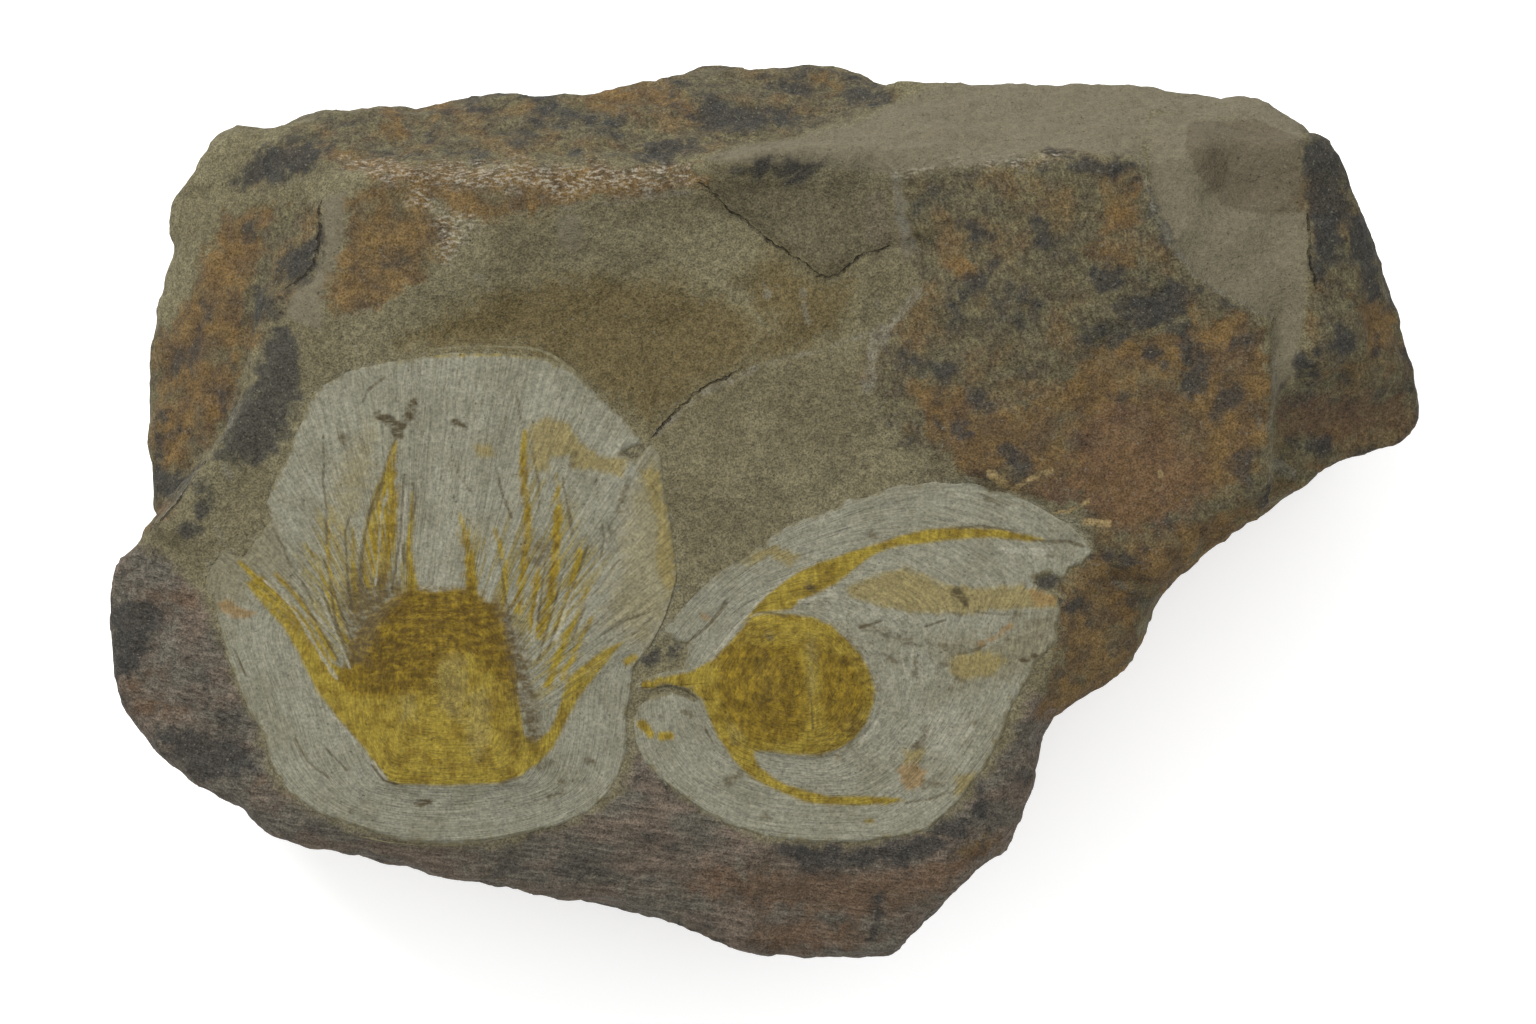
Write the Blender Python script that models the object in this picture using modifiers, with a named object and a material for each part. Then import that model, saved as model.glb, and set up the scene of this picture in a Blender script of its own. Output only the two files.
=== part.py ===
"""Fossil trilobite: a hand specimen of siltstone that lies on its underside, with a
fan-shaped tail shield and a rounded head shield set in its upper bedding face.

Lengths are written in millimetres and turned into metres where a mesh is made.
X runs along the stone, Y across it and Z up; the origin is under the middle of the
stone, on the surface that it rests on.
"""

import math

import bmesh
import bpy
from mathutils import Matrix, Vector, noise

MM = 0.001

# Driving dimensions, in millimetres
FACE_LEVEL = 36.0
BLOCK_LEVEL = 38.6
SIDE_LEVEL = 20.0
CUT_TOP = 60.0
SHIELD_DEPTH = 1.3
GAP = 0.3
SHIELD_RISE = 0.15

# The walls lean in below the widest level: (height, share of the outline's size)
WALL_LEVELS = [(-2.0, 0.84), (7.0, 0.93), (SIDE_LEVEL, 1.0), (42.0, 1.0)]

# The block's top tips a little: its fall along X and its climb along Y, from TIP_CENTRE
TIP_CENTRE = (20.0, 30.0)
TIP_FALL = 0.035
TIP_CLIMB = 0.02

# How finely the stone is broken up, and how rough it is
GRAIN_CELL = 1.1
STONE_TRIANGLES = 6400
ROUNDING_STEPS = 2
LUMP_SIZE = 11.0
LUMP_HEIGHT = 0.9
PIT_SIZE = 3.6
PIT_HEIGHT = 0.45
QUIET_MARGIN = 2.5

# Thin layers show as ledges on the broken sides, and wander up and down
LAYER_PITCH = 2.3
LAYER_HEIGHT = 0.8
LAYER_LENGTH = 14.0
LAYER_WANDER = 1.5
LAYER_WANDER_SIZE = 17.0

# Edges sharper than this, in degrees, stay crisp
STONE_CREASE = 32.0
SHIELD_CREASE = 40.0
SCAR_SEGMENTS = 48
WELD = 0.001

STONE_OUTLINE = [
    (-66.0, -7.5), (-64.4, -5.0), (-61.6, -2.6), (-60.6, -0.9), (-61.8, 1.0), (-62.0, 4.5),
    (-62.5, 9.5), (-63.0, 14.5), (-62.0, 20.5), (-60.4, 24.5), (-59.2, 27.0), (-60.0, 30.0),
    (-59.4, 32.0), (-57.5, 34.2), (-56.4, 37.2), (-54.4, 39.2), (-49.2, 39.4), (-46.6, 40.4),
    (-41.0, 41.0), (-37.6, 41.8), (-35.6, 40.6), (-32.4, 42.0), (-26.4, 42.4), (-21.4, 42.3),
    (-16.4, 43.3), (-12.4, 44.5), (-10.4, 44.2), (-6.3, 45.6), (-1.3, 45.7), (6.8, 44.9),
    (11.8, 43.3), (16.8, 43.2), (22.8, 43.6), (29.8, 43.2), (34.8, 43.7), (40.8, 43.0),
    (47.8, 41.8), (50.8, 41.1), (53.4, 39.2), (56.2, 37.4), (58.5, 34.2), (60.2, 30.2),
    (61.8, 24.6), (63.6, 20.1), (64.4, 17.0), (66.2, 13.9), (66.6, 10.9), (65.6, 8.2),
    (61.8, 6.5), (58.2, 5.5), (54.6, 3.4), (50.2, 0.0), (46.5, -2.8), (43.4, -5.3),
    (40.0, -8.0), (38.5, -11.3), (36.0, -15.3), (33.4, -17.3), (30.1, -19.0), (28.1, -21.0),
    (27.2, -23.8), (27.2, -26.8), (25.7, -30.4), (24.3, -34.4), (21.4, -36.1), (18.9, -37.4),
    (17.1, -40.1), (14.4, -42.7), (12.1, -44.1), (8.8, -44.7), (4.8, -44.8), (-0.3, -44.4),
    (-5.3, -42.7), (-11.3, -40.6), (-16.3, -39.4), (-22.3, -38.1), (-27.3, -37.1),
    (-33.3, -35.7), (-37.3, -34.6), (-43.3, -33.7), (-48.8, -31.9), (-51.4, -30.4),
    (-52.9, -28.4), (-55.9, -27.4), (-59.9, -24.8), (-62.6, -21.6), (-64.6, -19.3),
    (-65.4, -15.8), (-65.7, -11.6),
]

# Pairs of stations round each shield, clockwise from its lower left: a point on the raised
# core (the tail's axis, the head's glabella) and the point that it faces on the rim.
TAIL_STATIONS = [
    ((-37.8, -26.5), (-44.3, -29.9)), ((-39.1, -24.5), (-49.1, -25.2)),
    ((-40.1, -22.2), (-51.7, -17.7)), ((-40.7, -19.2), (-54.1, -11.5)),
    ((-40.7, -16.7), (-54.9, -7.2)), ((-40.5, -14.2), (-52.3, -3.2)),
    ((-40.1, -12.2), (-49.3, 0.9)), ((-39.1, -9.9), (-47.1, 7.6)),
    ((-37.7, -8.5), (-42.8, 13.2)), ((-36.1, -7.6), (-36.7, 14.9)),
    ((-34.6, -7.3), (-32.3, 15.7)), ((-30.2, -7.3), (-26.3, 15.9)),
    ((-28.5, -8.3), (-21.5, 15.2)), ((-26.5, -9.9), (-16.1, 11.0)),
    ((-24.9, -11.9), (-11.8, 7.2)), ((-24.2, -14.2), (-10.1, 2.4)),
    ((-23.8, -16.7), (-9.1, -4.7)), ((-23.5, -19.2), (-10.3, -10.2)),
    ((-23.1, -21.7), (-12.6, -15.2)), ((-22.9, -24.2), (-13.7, -20.7)),
    ((-24.3, -26.7), (-15.3, -27.2)), ((-27.3, -27.1), (-21.1, -30.7)),
    ((-31.3, -27.2), (-29.3, -32.3)), ((-34.8, -27.0), (-38.0, -32.0)),
]
HEAD_STATIONS = [
    ((-5.8, -17.0), (-11.3, -17.4)), ((-5.0, -14.8), (-9.2, -12.4)),
    ((-2.7, -11.6), (-4.4, -7.1)), ((-0.1, -10.0), (0.9, -3.0)),
    ((3.1, -9.8), (8.1, 0.7)), ((5.3, -10.2), (14.5, 2.8)),
    ((7.0, -11.0), (21.3, 3.1)), ((8.6, -12.6), (28.4, 0.4)),
    ((9.6, -14.0), (32.4, -3.5)), ((10.5, -15.6), (29.8, -8.1)),
    ((11.1, -17.4), (29.0, -12.6)), ((11.0, -19.1), (27.2, -17.4)),
    ((10.5, -20.6), (24.2, -22.5)), ((8.8, -22.4), (19.6, -28.5)),
    ((7.0, -23.6), (14.2, -32.0)), ((5.3, -24.1), (8.8, -32.4)),
    ((2.8, -24.0), (2.8, -32.1)), ((0.3, -23.6), (-2.7, -31.0)),
    ((-2.0, -22.6), (-8.0, -28.2)), ((-3.7, -21.0), (-11.2, -24.2)),
    ((-5.0, -19.2), (-12.0, -20.7)),
]

# Relief of the two shields. The way out from a shield's middle is counted as 1 at the core's
# edge and 2 at the rim; each pair of numbers is where a slope starts and ends on that way.
AROUND = 72
RINGS = 12
CORE_RINGS = 4
TAIL_DOME = 0.9
TAIL_DOME_SLOPE = (0.4, 2.0)
TAIL_CORE_RISE = 0.5
TAIL_CORE_SLOPE = (0.8, 1.25)
TAIL_RIBS = 9
TAIL_RIB_RISE = 0.4
TAIL_RIB_START = (0.95, 1.25)
TAIL_RIB_END = (1.75, 1.98)
TAIL_FAN = (4, 18)
FAN_FADE = 0.06
HEAD_DOME = 0.5
HEAD_DOME_SLOPE = (0.6, 2.0)
HEAD_CORE_RISE = 0.7
HEAD_CORE_REACH = 1.05

SILTSTONE = (0.14, 0.12, 0.08)
PALE_SHELL = (0.23, 0.22, 0.16)


def slope(start, fall_towards, angle, level):
    """A flat floor as a function of (x, y): it is at level at start, and falls at angle, in
    degrees, in the plan direction fall_towards."""
    direction = Vector(fall_towards).normalized()
    steepness = math.tan(math.radians(angle))

    def height(x, y):
        away = (x - start[0]) * direction.x + (y - start[1]) * direction.y
        return level - away * steepness

    return height


def flat(level):
    """A level floor."""
    return lambda x, y: level


# What has broken off the blank, from above: the plan of each break and its floor.
BREAKS = {
    "bedding_face": (
        [(7.5, 60), (-5.5, 34.0), (-5.8, 32.6), (0.5, 27.0), (6.4, 23.6), (9.0, 25.4),
         (12.2, 26.6), (13.0, 24.0), (15.4, 21.6), (12.6, 18.0), (10.6, 15.0), (9.0, 10.6),
         (11.0, 6.4), (16.8, 4.2), (24.8, 2.9), (31.8, -0.1), (35.8, -4.6), (43.0, -10.6),
         (60, -60), (-80, -60), (-80, 60)],
        flat(FACE_LEVEL),
    ),
    "block_apron": (
        [(13.4, 22.0), (10.0, 16.0), (6.0, 10.0), (8.0, 4.0), (24.8, 0.0), (33.0, -3.0),
         (37.0, -2.0), (33.0, 4.0), (29.0, 12.0), (24.0, 19.0), (18.0, 24.0)],
        slope((11.5, 10.0), (-0.92, -0.4), 8.5, 36.3),
    ),
    "valley": (
        [(-5.3, 33.9), (1.0, 27.4), (6.4, 23.8), (9.0, 25.5), (12.2, 26.8), (12.8, 30.0),
         (13.2, 34.6), (4.0, 34.9)],
        slope((3.0, 31.0), (1.0, -0.25), 9.0, 37.9),
    ),
    "back_of_hump": (
        [(-70, 30.6), (-40, 34.4), (-8, 34.8), (1.5, 37.0), (12.0, 42.2), (14.0, 60), (-70, 60)],
        slope((-10.0, 34.6), (-0.05, 1.0), 55.0, 36.0),
    ),
    "back_of_block": (
        [(-8, 34.5), (2.0, 34.6), (13.0, 34.2), (20, 35.2), (26, 36.1), (38, 35.7), (56, 38.4),
         (70, 38), (70, 60), (-8, 60)],
        slope((24.0, 35.2), (0.05, 1.0), 57.0, 38.4),
    ),
    "left_corner": (
        [(-70, 24), (-57, 31.0), (-50, 33.0), (-43, 33.2), (-36, 36.4), (-36, 60), (-70, 60)],
        slope((-50.0, 31.0), (-0.45, 1.0), 46.0, 34.5),
    ),
    "left_end": (
        [(-43.3, 32.4), (-46.3, 26.9), (-50.6, 17.8), (-52.0, 11.4), (-55.6, 5.6),
         (-60.6, -0.6), (-70, -6), (-70, 40), (-50, 40)],
        slope((-46.0, 24.0), (-1.0, 0.25), 40.0, 34.0),
    ),
    "left_ledge_low": (
        [(-43.2, 32.6), (-45.2, 27.6), (-46.4, 21.0), (-49.0, 15.0), (-55.0, 8.0),
         (-58.0, 20.0), (-50.0, 36.0)],
        flat(34.4),
    ),
    "left_ledge_high": (
        [(-42.0, 33.0), (-43.0, 27.0), (-43.6, 22.2), (-47.0, 21.0), (-50.0, 34.0)],
        flat(35.2),
    ),
    "right_scar": (
        [(37.6, 36.6), (39.8, 31.0), (41.0, 27.0), (44.0, 22.8), (50.4, 19.4), (50.9, 11.4),
         (51.5, 5.6), (53.0, 0.0), (55.0, 5.0), (53.6, 12.9), (54.4, 21.4), (54.7, 30.0),
         (54.4, 36.0), (53.0, 44.0), (41.0, 44.0)],
        slope((40.0, 28.0), (1.0, 0.35), 9.0, 37.2),
    ),
    "right_end": (
        [(54.4, 37.5), (54.6, 30.0), (54.3, 21.2), (53.8, 13.0), (70, 18), (70, 60), (50, 60)],
        slope((54.5, 25.0), (1.0, 0.15), 38.0, 37.0),
    ),
    "right_foot": (
        [(50.8, 12.6), (53.6, 13.8), (60.0, 16.0), (72, 20), (72, -10), (51, -10)],
        slope((52.0, 12.8), (0.75, -0.66), 33.0, 35.4),
    ),
    "lower_right": (
        [(35.4, -5.2), (31.0, -9.0), (30.2, -13.0), (28.4, -18.0), (25.2, -23.4), (21.0, -29.6),
         (20.0, -34.0), (30, -52), (64, -52), (64, -20), (44.0, -9.5)],
        slope((30.4, -10.0), (0.9, -0.45), 31.0, 35.7),
    ),
    "front_margin": (
        [(-54.0, -27.4), (-44.0, -31.4), (-30.0, -33.3), (-14.0, -29.0), (0.0, -33.0),
         (14.0, -33.0), (23.0, -30.6), (40, -60), (-70, -60), (-70, -30)],
        slope((-14.0, -32.0), (-0.1, -1.0), 22.0, 35.8),
    ),
    "left_margin": (
        [(-53.6, -3.6), (-56.0, -9.0), (-55.2, -13.0), (-52.6, -20.0), (-50.6, -25.4),
         (-52.0, -32.0), (-80, -40), (-80, 4)],
        slope((-55.0, -12.0), (-1.0, -0.25), 24.0, 35.7),
    ),
    "block_margin": (
        [(49.0, 1.4), (44.0, -2.0), (38.0, -6.4), (36.0, -9.0), (40, -20), (70, 0), (53.0, 4.6)],
        slope((44.0, -1.6), (0.65, -0.76), 40.0, 36.6),
    ),
}

# Shell-shaped scars: (centre, radii, turn in degrees)
SCARS = {
    "long_scoop": ((-13.0, 21.4, FACE_LEVEL + 9.8), (48.0, 15.6, 12.0), 15.0),
    "right_bowl": ((48.6, 34.6, 44.0), (8.2, 8.6, 10.6), 0.0),
    "hollow_by_block": ((11.4, 30.5, 43.0), (3.4, 9.0, 7.2), 4.0),
    "front_hollow": ((-2.0, -52.0, 16.0), (26.0, 12.0, 13.0), 0.0),
    "back_hollow": ((28.0, 55.0, 14.0), (24.0, 13.0, 12.0), 0.0),
    "notch_hollow": ((44.0, -19.0, 14.0), (13.0, 11.0, 12.0), -30.0),
}

# Broken corners under the widest level: a point on each cut, and the way that it faces
UNDERCUT_BOX = 120.0
UNDERCUTS = {
    "left_back_corner": ((-60.0, 8.0, 10.0), (-0.82, 0.18, -0.55)),
    "left_front_corner": ((-58.0, -18.0, 9.0), (-0.70, -0.45, -0.56)),
    "front_corner": ((-20.0, -35.0, 8.0), (-0.15, -0.80, -0.58)),
    "tip_corner": ((20.0, -35.5, 12.0), (0.55, -0.72, -0.42)),
    "right_front_corner": ((54.0, 0.0, 10.0), (0.62, -0.62, -0.48)),
    "right_corner": ((61.0, 20.0, 9.0), (0.84, 0.20, -0.50)),
    "back_corner": ((25.0, 41.0, 6.0), (0.10, 0.78, -0.62)),
    "left_corner_low": ((-34.0, 39.0, 8.0), (-0.20, 0.80, -0.56)),
}


def clear_scene():
    for obj in list(bpy.data.objects):
        bpy.data.objects.remove(obj, do_unlink=True)


def new_collection(name):
    collection = bpy.data.collections.new(name)
    bpy.context.scene.collection.children.link(collection)
    return collection


def new_material(name, colour, roughness):
    material = bpy.data.materials.new(name)
    material.use_nodes = True
    shader = material.node_tree.nodes["Principled BSDF"]
    shader.inputs["Base Color"].default_value = (*colour, 1.0)
    shader.inputs["Roughness"].default_value = roughness
    shader.inputs["Metallic"].default_value = 0.0
    return material


def object_from(bm, name, collection):
    """A bmesh drawn in millimetres as an object in metres."""
    bmesh.ops.transform(bm, matrix=Matrix.Scale(MM, 4), verts=bm.verts)
    bmesh.ops.recalc_face_normals(bm, faces=bm.faces)
    mesh = bpy.data.meshes.new(name)
    bm.to_mesh(mesh)
    bm.free()
    obj = bpy.data.objects.new(name, mesh)
    collection.objects.link(obj)
    return obj


def as_cutter(obj):
    obj.hide_render = True
    obj.display_type = "WIRE"
    return obj


def plan_face(bm, outline, level):
    corners = [bm.verts.new((x, y, level)) for x, y in outline]
    return bm.faces.new(corners)


def raise_face(bm, face, height_of):
    """Extrudes a face and puts the new corners at height_of(x, y)."""
    made = bmesh.ops.extrude_face_region(bm, geom=[face])["geom"]
    for corner in (item for item in made if isinstance(item, bmesh.types.BMVert)):
        corner.co.z = height_of(corner.co.x, corner.co.y)
    return next(item for item in made if isinstance(item, bmesh.types.BMFace))


def block_top(x, y):
    """The weathered top of the blank, which tips a little towards its lower right."""
    return BLOCK_LEVEL - TIP_FALL * (x - TIP_CENTRE[0]) + TIP_CLIMB * (y - TIP_CENTRE[1])


def stone_blank(collection):
    """The block that the stone broke out of: its outline, with walls that lean in below."""
    bm = bmesh.new()
    first_height, first_share = WALL_LEVELS[0]
    face = plan_face(bm, [(x * first_share, y * first_share) for x, y in STONE_OUTLINE], first_height)
    share = first_share
    for height, next_share in WALL_LEVELS[1:]:
        face = raise_face(bm, face, flat(height))
        grow = Matrix.Diagonal((next_share / share, next_share / share, 1.0, 1.0))
        bmesh.ops.transform(bm, matrix=grow, verts=face.verts)
        share = next_share
    for corner in face.verts:
        corner.co.z = block_top(corner.co.x, corner.co.y)
    return object_from(bm, "stone_blank", collection)


def break_cutter(name, outline, floor, collection):
    """Everything above a floor, inside a plan outline."""
    bm = bmesh.new()
    top = plan_face(bm, outline, CUT_TOP)
    raise_face(bm, top, floor)
    return as_cutter(object_from(bm, name, collection))


def scar_cutter(name, centre, radii, turn, collection):
    bm = bmesh.new()
    bmesh.ops.create_uvsphere(bm, u_segments=SCAR_SEGMENTS, v_segments=SCAR_SEGMENTS // 2, radius=1.0)
    placed = (
        Matrix.Translation(centre)
        @ Matrix.Rotation(math.radians(turn), 4, "Z")
        @ Matrix.Diagonal((*radii, 1.0))
    )
    bmesh.ops.transform(bm, matrix=placed, verts=bm.verts)
    return as_cutter(object_from(bm, name, collection))


def corner_cutter(name, point, facing, collection):
    """A big box with one side through point, on the far side of it as seen from the stone."""
    bm = bmesh.new()
    bmesh.ops.create_cube(bm, size=UNDERCUT_BOX)
    turn = Vector(facing).to_track_quat("Z", "Y").to_matrix().to_4x4()
    placed = Matrix.Translation(point) @ turn @ Matrix.Translation((0, 0, UNDERCUT_BOX / 2))
    bmesh.ops.transform(bm, matrix=placed, verts=bm.verts)
    return as_cutter(object_from(bm, name, collection))


def add_boolean(obj, cutter, operation="DIFFERENCE"):
    modifier = obj.modifiers.new(cutter.name, "BOOLEAN")
    modifier.operation = operation
    modifier.object = cutter


def settle(obj):
    """Puts the result of an object's modifiers into its own mesh."""
    graph = bpy.context.evaluated_depsgraph_get()
    graph.update()
    made = bpy.data.meshes.new_from_object(obj.evaluated_get(graph))
    obj.modifiers.clear()
    obj.data = made
    return made


def spline_point(points, place):
    """A point on the smooth closed curve through points; place counts them from 0."""
    count = len(points)
    index = math.floor(place)
    t = place - index
    before, start, end, after = (Vector(points[(index + step) % count]) for step in (-1, 0, 1, 2))
    return 0.5 * (
        2 * start
        + (end - before) * t
        + (2 * before - 5 * start + 4 * end - after) * t**2
        + (3 * (start - end) + after - before) * t**3
    )


def rim_of(stations, margin=0.0, count=AROUND):
    """The shield's outline as points, moved outwards by margin."""
    rim = [outer for _, outer in stations]
    places = [i * len(rim) / count for i in range(count)]
    outline = []
    for place in places:
        here = spline_point(rim, place)
        along = (spline_point(rim, place + 0.05) - spline_point(rim, place - 0.05)).normalized()
        outline.append(here + Vector((-along.y, along.x)) * margin)
    return outline


def near_shields(x, y):
    """0 on a shield and at its edge, rising to 1 away from both."""
    nearest = min((Vector((x, y)) - point).length for outline in SHIELD_RIMS for point in outline)
    inside = any(point_inside(x, y, outline) for outline in SHIELD_RIMS)
    return 0.0 if inside else min(1.0, nearest / QUIET_MARGIN)


def point_inside(x, y, outline):
    inside = False
    for a, b in zip(outline, outline[1:] + outline[:1]):
        if (a.y > y) != (b.y > y) and x < a.x + (y - a.y) / (b.y - a.y) * (b.x - a.x):
            inside = not inside
    return inside


def roughen(mesh):
    """Lumps and pits all over, and the edges of thin layers on the broken sides."""
    moves = []
    for corner in mesh.vertices:
        place = corner.co / MM
        lumps = noise.fractal(place / LUMP_SIZE, 1.0, 2.1, 3) * LUMP_HEIGHT
        pits = noise.noise(place / PIT_SIZE + Vector((7.0, 3.0, 1.0))) * PIT_HEIGHT
        level = place.z + noise.noise(place / LAYER_WANDER_SIZE) * LAYER_WANDER
        along = place.to_2d() / LAYER_LENGTH
        layers = noise.noise(Vector((along.x, along.y, level / LAYER_PITCH))) * LAYER_HEIGHT
        side = 1.0 - abs(corner.normal.z)
        push = lumps + pits + layers * side
        if place.z > FACE_LEVEL - SHIELD_DEPTH:
            push *= near_shields(place.x, place.y)
        moves.append(corner.normal * push * MM)
    for corner, move in zip(mesh.vertices, moves):
        corner.co += move


def grain(obj):
    """Evens the stone's mesh out, roughens it and thins it to STONE_TRIANGLES."""
    remesh = obj.modifiers.new("even_out", "REMESH")
    remesh.mode = "VOXEL"
    remesh.voxel_size = GRAIN_CELL * MM
    soften = obj.modifiers.new("soften", "SMOOTH")
    soften.factor = 0.5
    soften.iterations = ROUNDING_STEPS
    mesh = settle(obj)
    roughen(mesh)
    mesh.calc_loop_triangles()
    thin = obj.modifiers.new("thin_out", "DECIMATE")
    thin.ratio = STONE_TRIANGLES / len(mesh.loop_triangles)
    thin.use_collapse_triangulate = True
    settle(obj)


def rest_flat(obj):
    """Cuts the underside off level, along the bedding plane that the stone lies on."""
    bm = bmesh.new()
    bm.from_mesh(obj.data)
    whole = list(bm.verts) + list(bm.edges) + list(bm.faces)
    cut = bmesh.ops.bisect_plane(bm, geom=whole, plane_no=(0, 0, -1), clear_outer=True)
    rim = [item for item in cut["geom_cut"] if isinstance(item, bmesh.types.BMEdge)]
    bmesh.ops.holes_fill(bm, edges=rim)
    bmesh.ops.triangulate(bm, faces=bm.faces)
    bm.to_mesh(obj.data)
    bm.free()


def make_matrix(parts, cutters, material):
    stone = stone_blank(parts)
    stone.name = "matrix"
    for name, (outline, floor) in BREAKS.items():
        add_boolean(stone, break_cutter(name, outline, floor, cutters))
    for name, (centre, radii, turn) in SCARS.items():
        add_boolean(stone, scar_cutter(name, centre, radii, turn, cutters))
    for name, (point, facing) in UNDERCUTS.items():
        add_boolean(stone, corner_cutter(name, point, facing, cutters))
    grain(stone)
    rest_flat(stone)
    for name, stations in (("tail_socket", TAIL_STATIONS), ("head_socket", HEAD_STATIONS)):
        outline = rim_of(stations, margin=GAP)
        socket_floor = flat(FACE_LEVEL - SHIELD_DEPTH - GAP)
        add_boolean(stone, break_cutter(name, outline, socket_floor, cutters))
    settle(stone)
    stone.data.materials.clear()
    stone.data.materials.append(material)
    stone.data.shade_smooth()
    stone.data.set_sharp_from_angle(angle=math.radians(STONE_CREASE))
    return stone


def smooth_step(low, high, value):
    t = min(1.0, max(0.0, (value - low) / (high - low)))
    return t * t * (3 - 2 * t)


def tail_relief(place, outward):
    """Height over the tail's rim: a low dome, the raised axis, and ribs that fan out of it.
    place counts stations; outward is 0 in the middle, 1 at the core's edge and 2 at the rim."""
    dome = TAIL_DOME * (1.0 - smooth_step(*TAIL_DOME_SLOPE, outward))
    core = TAIL_CORE_RISE * (1.0 - smooth_step(*TAIL_CORE_SLOPE, outward))
    first, last = TAIL_FAN
    across = (place - first) / (last - first)
    in_fan = smooth_step(0.0, FAN_FADE, across) * (1.0 - smooth_step(1.0 - FAN_FADE, 1.0, across))
    on_rib = 0.5 - 0.5 * math.cos(2 * math.pi * TAIL_RIBS * across)
    length = smooth_step(*TAIL_RIB_START, outward) * (1.0 - smooth_step(*TAIL_RIB_END, outward))
    return dome + core + TAIL_RIB_RISE * on_rib * in_fan * length


def head_relief(place, outward):
    """Height over the head's rim: a low dome, and the glabella as a rounded swelling."""
    dome = HEAD_DOME * (1.0 - smooth_step(*HEAD_DOME_SLOPE, outward))
    share = min(1.0, outward / HEAD_CORE_REACH)
    return dome + HEAD_CORE_RISE * math.sqrt(1.0 - share**2)


def make_shield(name, stations, relief, parts, material):
    """A plate in its socket. A grid is wrapped round the core, ring by ring out to the rim,
    given its relief, and closed by the side and the back."""
    count = len(stations)
    middle = sum((Vector(inner) for inner, _ in stations), Vector((0, 0))) / count
    inner_points = [inner for inner, _ in stations]
    outer_points = [outer for _, outer in stations]
    bm = bmesh.new()
    bmesh.ops.create_grid(bm, x_segments=AROUND, y_segments=RINGS, size=0.5)
    for corner in bm.verts:
        place = (corner.co.x + 0.5) * count
        ring = round((corner.co.y + 0.5) * RINGS)
        inner = spline_point(inner_points, place)
        outer = spline_point(outer_points, place)
        if ring <= CORE_RINGS:
            outward = ring / CORE_RINGS
            spot = middle.lerp(inner, outward)
        else:
            outward = 1.0 + (ring - CORE_RINGS) / (RINGS - CORE_RINGS)
            spot = inner.lerp(outer, outward - 1.0)
        height = FACE_LEVEL + SHIELD_RISE + relief(place, outward)
        corner.co = Vector((spot.x, spot.y, height))
    bmesh.ops.remove_doubles(bm, verts=bm.verts, dist=WELD)
    rim = [edge for edge in bm.edges if edge.is_boundary]
    made = bmesh.ops.extrude_edge_only(bm, edges=rim)["geom"]
    back = [item for item in made if isinstance(item, bmesh.types.BMVert)]
    for corner in back:
        corner.co.z = FACE_LEVEL - SHIELD_DEPTH
    bmesh.ops.contextual_create(bm, geom=[edge for edge in bm.edges if edge.is_boundary])
    bmesh.ops.triangulate(bm, faces=bm.faces)
    shield = object_from(bm, name, parts)
    shield.data.materials.append(material)
    shield.data.shade_smooth()
    shield.data.set_sharp_from_angle(angle=math.radians(SHIELD_CREASE))
    return shield


def centre_over_origin(whole, pieces):
    """Moves every piece sideways by the same step, so that the middle of whole is over the
    origin."""
    xs = [corner.co.x for corner in whole.data.vertices]
    ys = [corner.co.y for corner in whole.data.vertices]
    step = Vector((-(min(xs) + max(xs)) / 2, -(min(ys) + max(ys)) / 2, 0.0))
    for piece in pieces:
        piece.data.transform(Matrix.Translation(step))


clear_scene()
PARTS = new_collection("fossil_trilobite")
CUTTERS = new_collection("cutters")
SHIELD_RIMS = [rim_of(TAIL_STATIONS), rim_of(HEAD_STATIONS)]
STONE_MATERIAL = new_material("siltstone", SILTSTONE, 0.85)
SHELL_MATERIAL = new_material("pale_shell", PALE_SHELL, 0.7)

MATRIX = make_matrix(PARTS, CUTTERS, STONE_MATERIAL)
TAIL = make_shield("tail_shield", TAIL_STATIONS, tail_relief, PARTS, SHELL_MATERIAL)
HEAD = make_shield("head_shield", HEAD_STATIONS, head_relief, PARTS, SHELL_MATERIAL)
centre_over_origin(MATRIX, [MATRIX, TAIL, HEAD])
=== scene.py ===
"""Looks of the fossil trilobite specimen: broken siltstone, and the two shields in its face."""

import math

import bmesh
import bpy
import numpy as np
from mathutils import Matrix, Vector, noise


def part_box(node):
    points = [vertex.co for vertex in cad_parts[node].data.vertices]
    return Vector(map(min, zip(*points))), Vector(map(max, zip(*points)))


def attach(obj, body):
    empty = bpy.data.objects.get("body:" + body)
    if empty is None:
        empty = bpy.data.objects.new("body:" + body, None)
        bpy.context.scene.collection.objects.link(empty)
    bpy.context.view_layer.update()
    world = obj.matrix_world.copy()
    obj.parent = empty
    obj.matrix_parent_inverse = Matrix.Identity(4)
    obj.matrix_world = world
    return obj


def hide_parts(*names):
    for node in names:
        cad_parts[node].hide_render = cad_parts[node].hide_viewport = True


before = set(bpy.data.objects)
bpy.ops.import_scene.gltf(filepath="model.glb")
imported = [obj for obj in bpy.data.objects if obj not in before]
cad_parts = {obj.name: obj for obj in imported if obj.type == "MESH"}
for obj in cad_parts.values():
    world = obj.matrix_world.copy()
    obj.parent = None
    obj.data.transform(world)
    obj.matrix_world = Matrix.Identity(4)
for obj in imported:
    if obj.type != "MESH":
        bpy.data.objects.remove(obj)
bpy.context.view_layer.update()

# Everything below is in millimetres, apart from the markings, the floor and the light, and
# becomes metres in a mesh
MM = 0.001
SHIELD_DEPTH = 1.3
FACE_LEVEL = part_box("tail_shield")[0].z / MM + SHIELD_DEPTH
CENTRING = (-0.26, -0.20)

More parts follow.
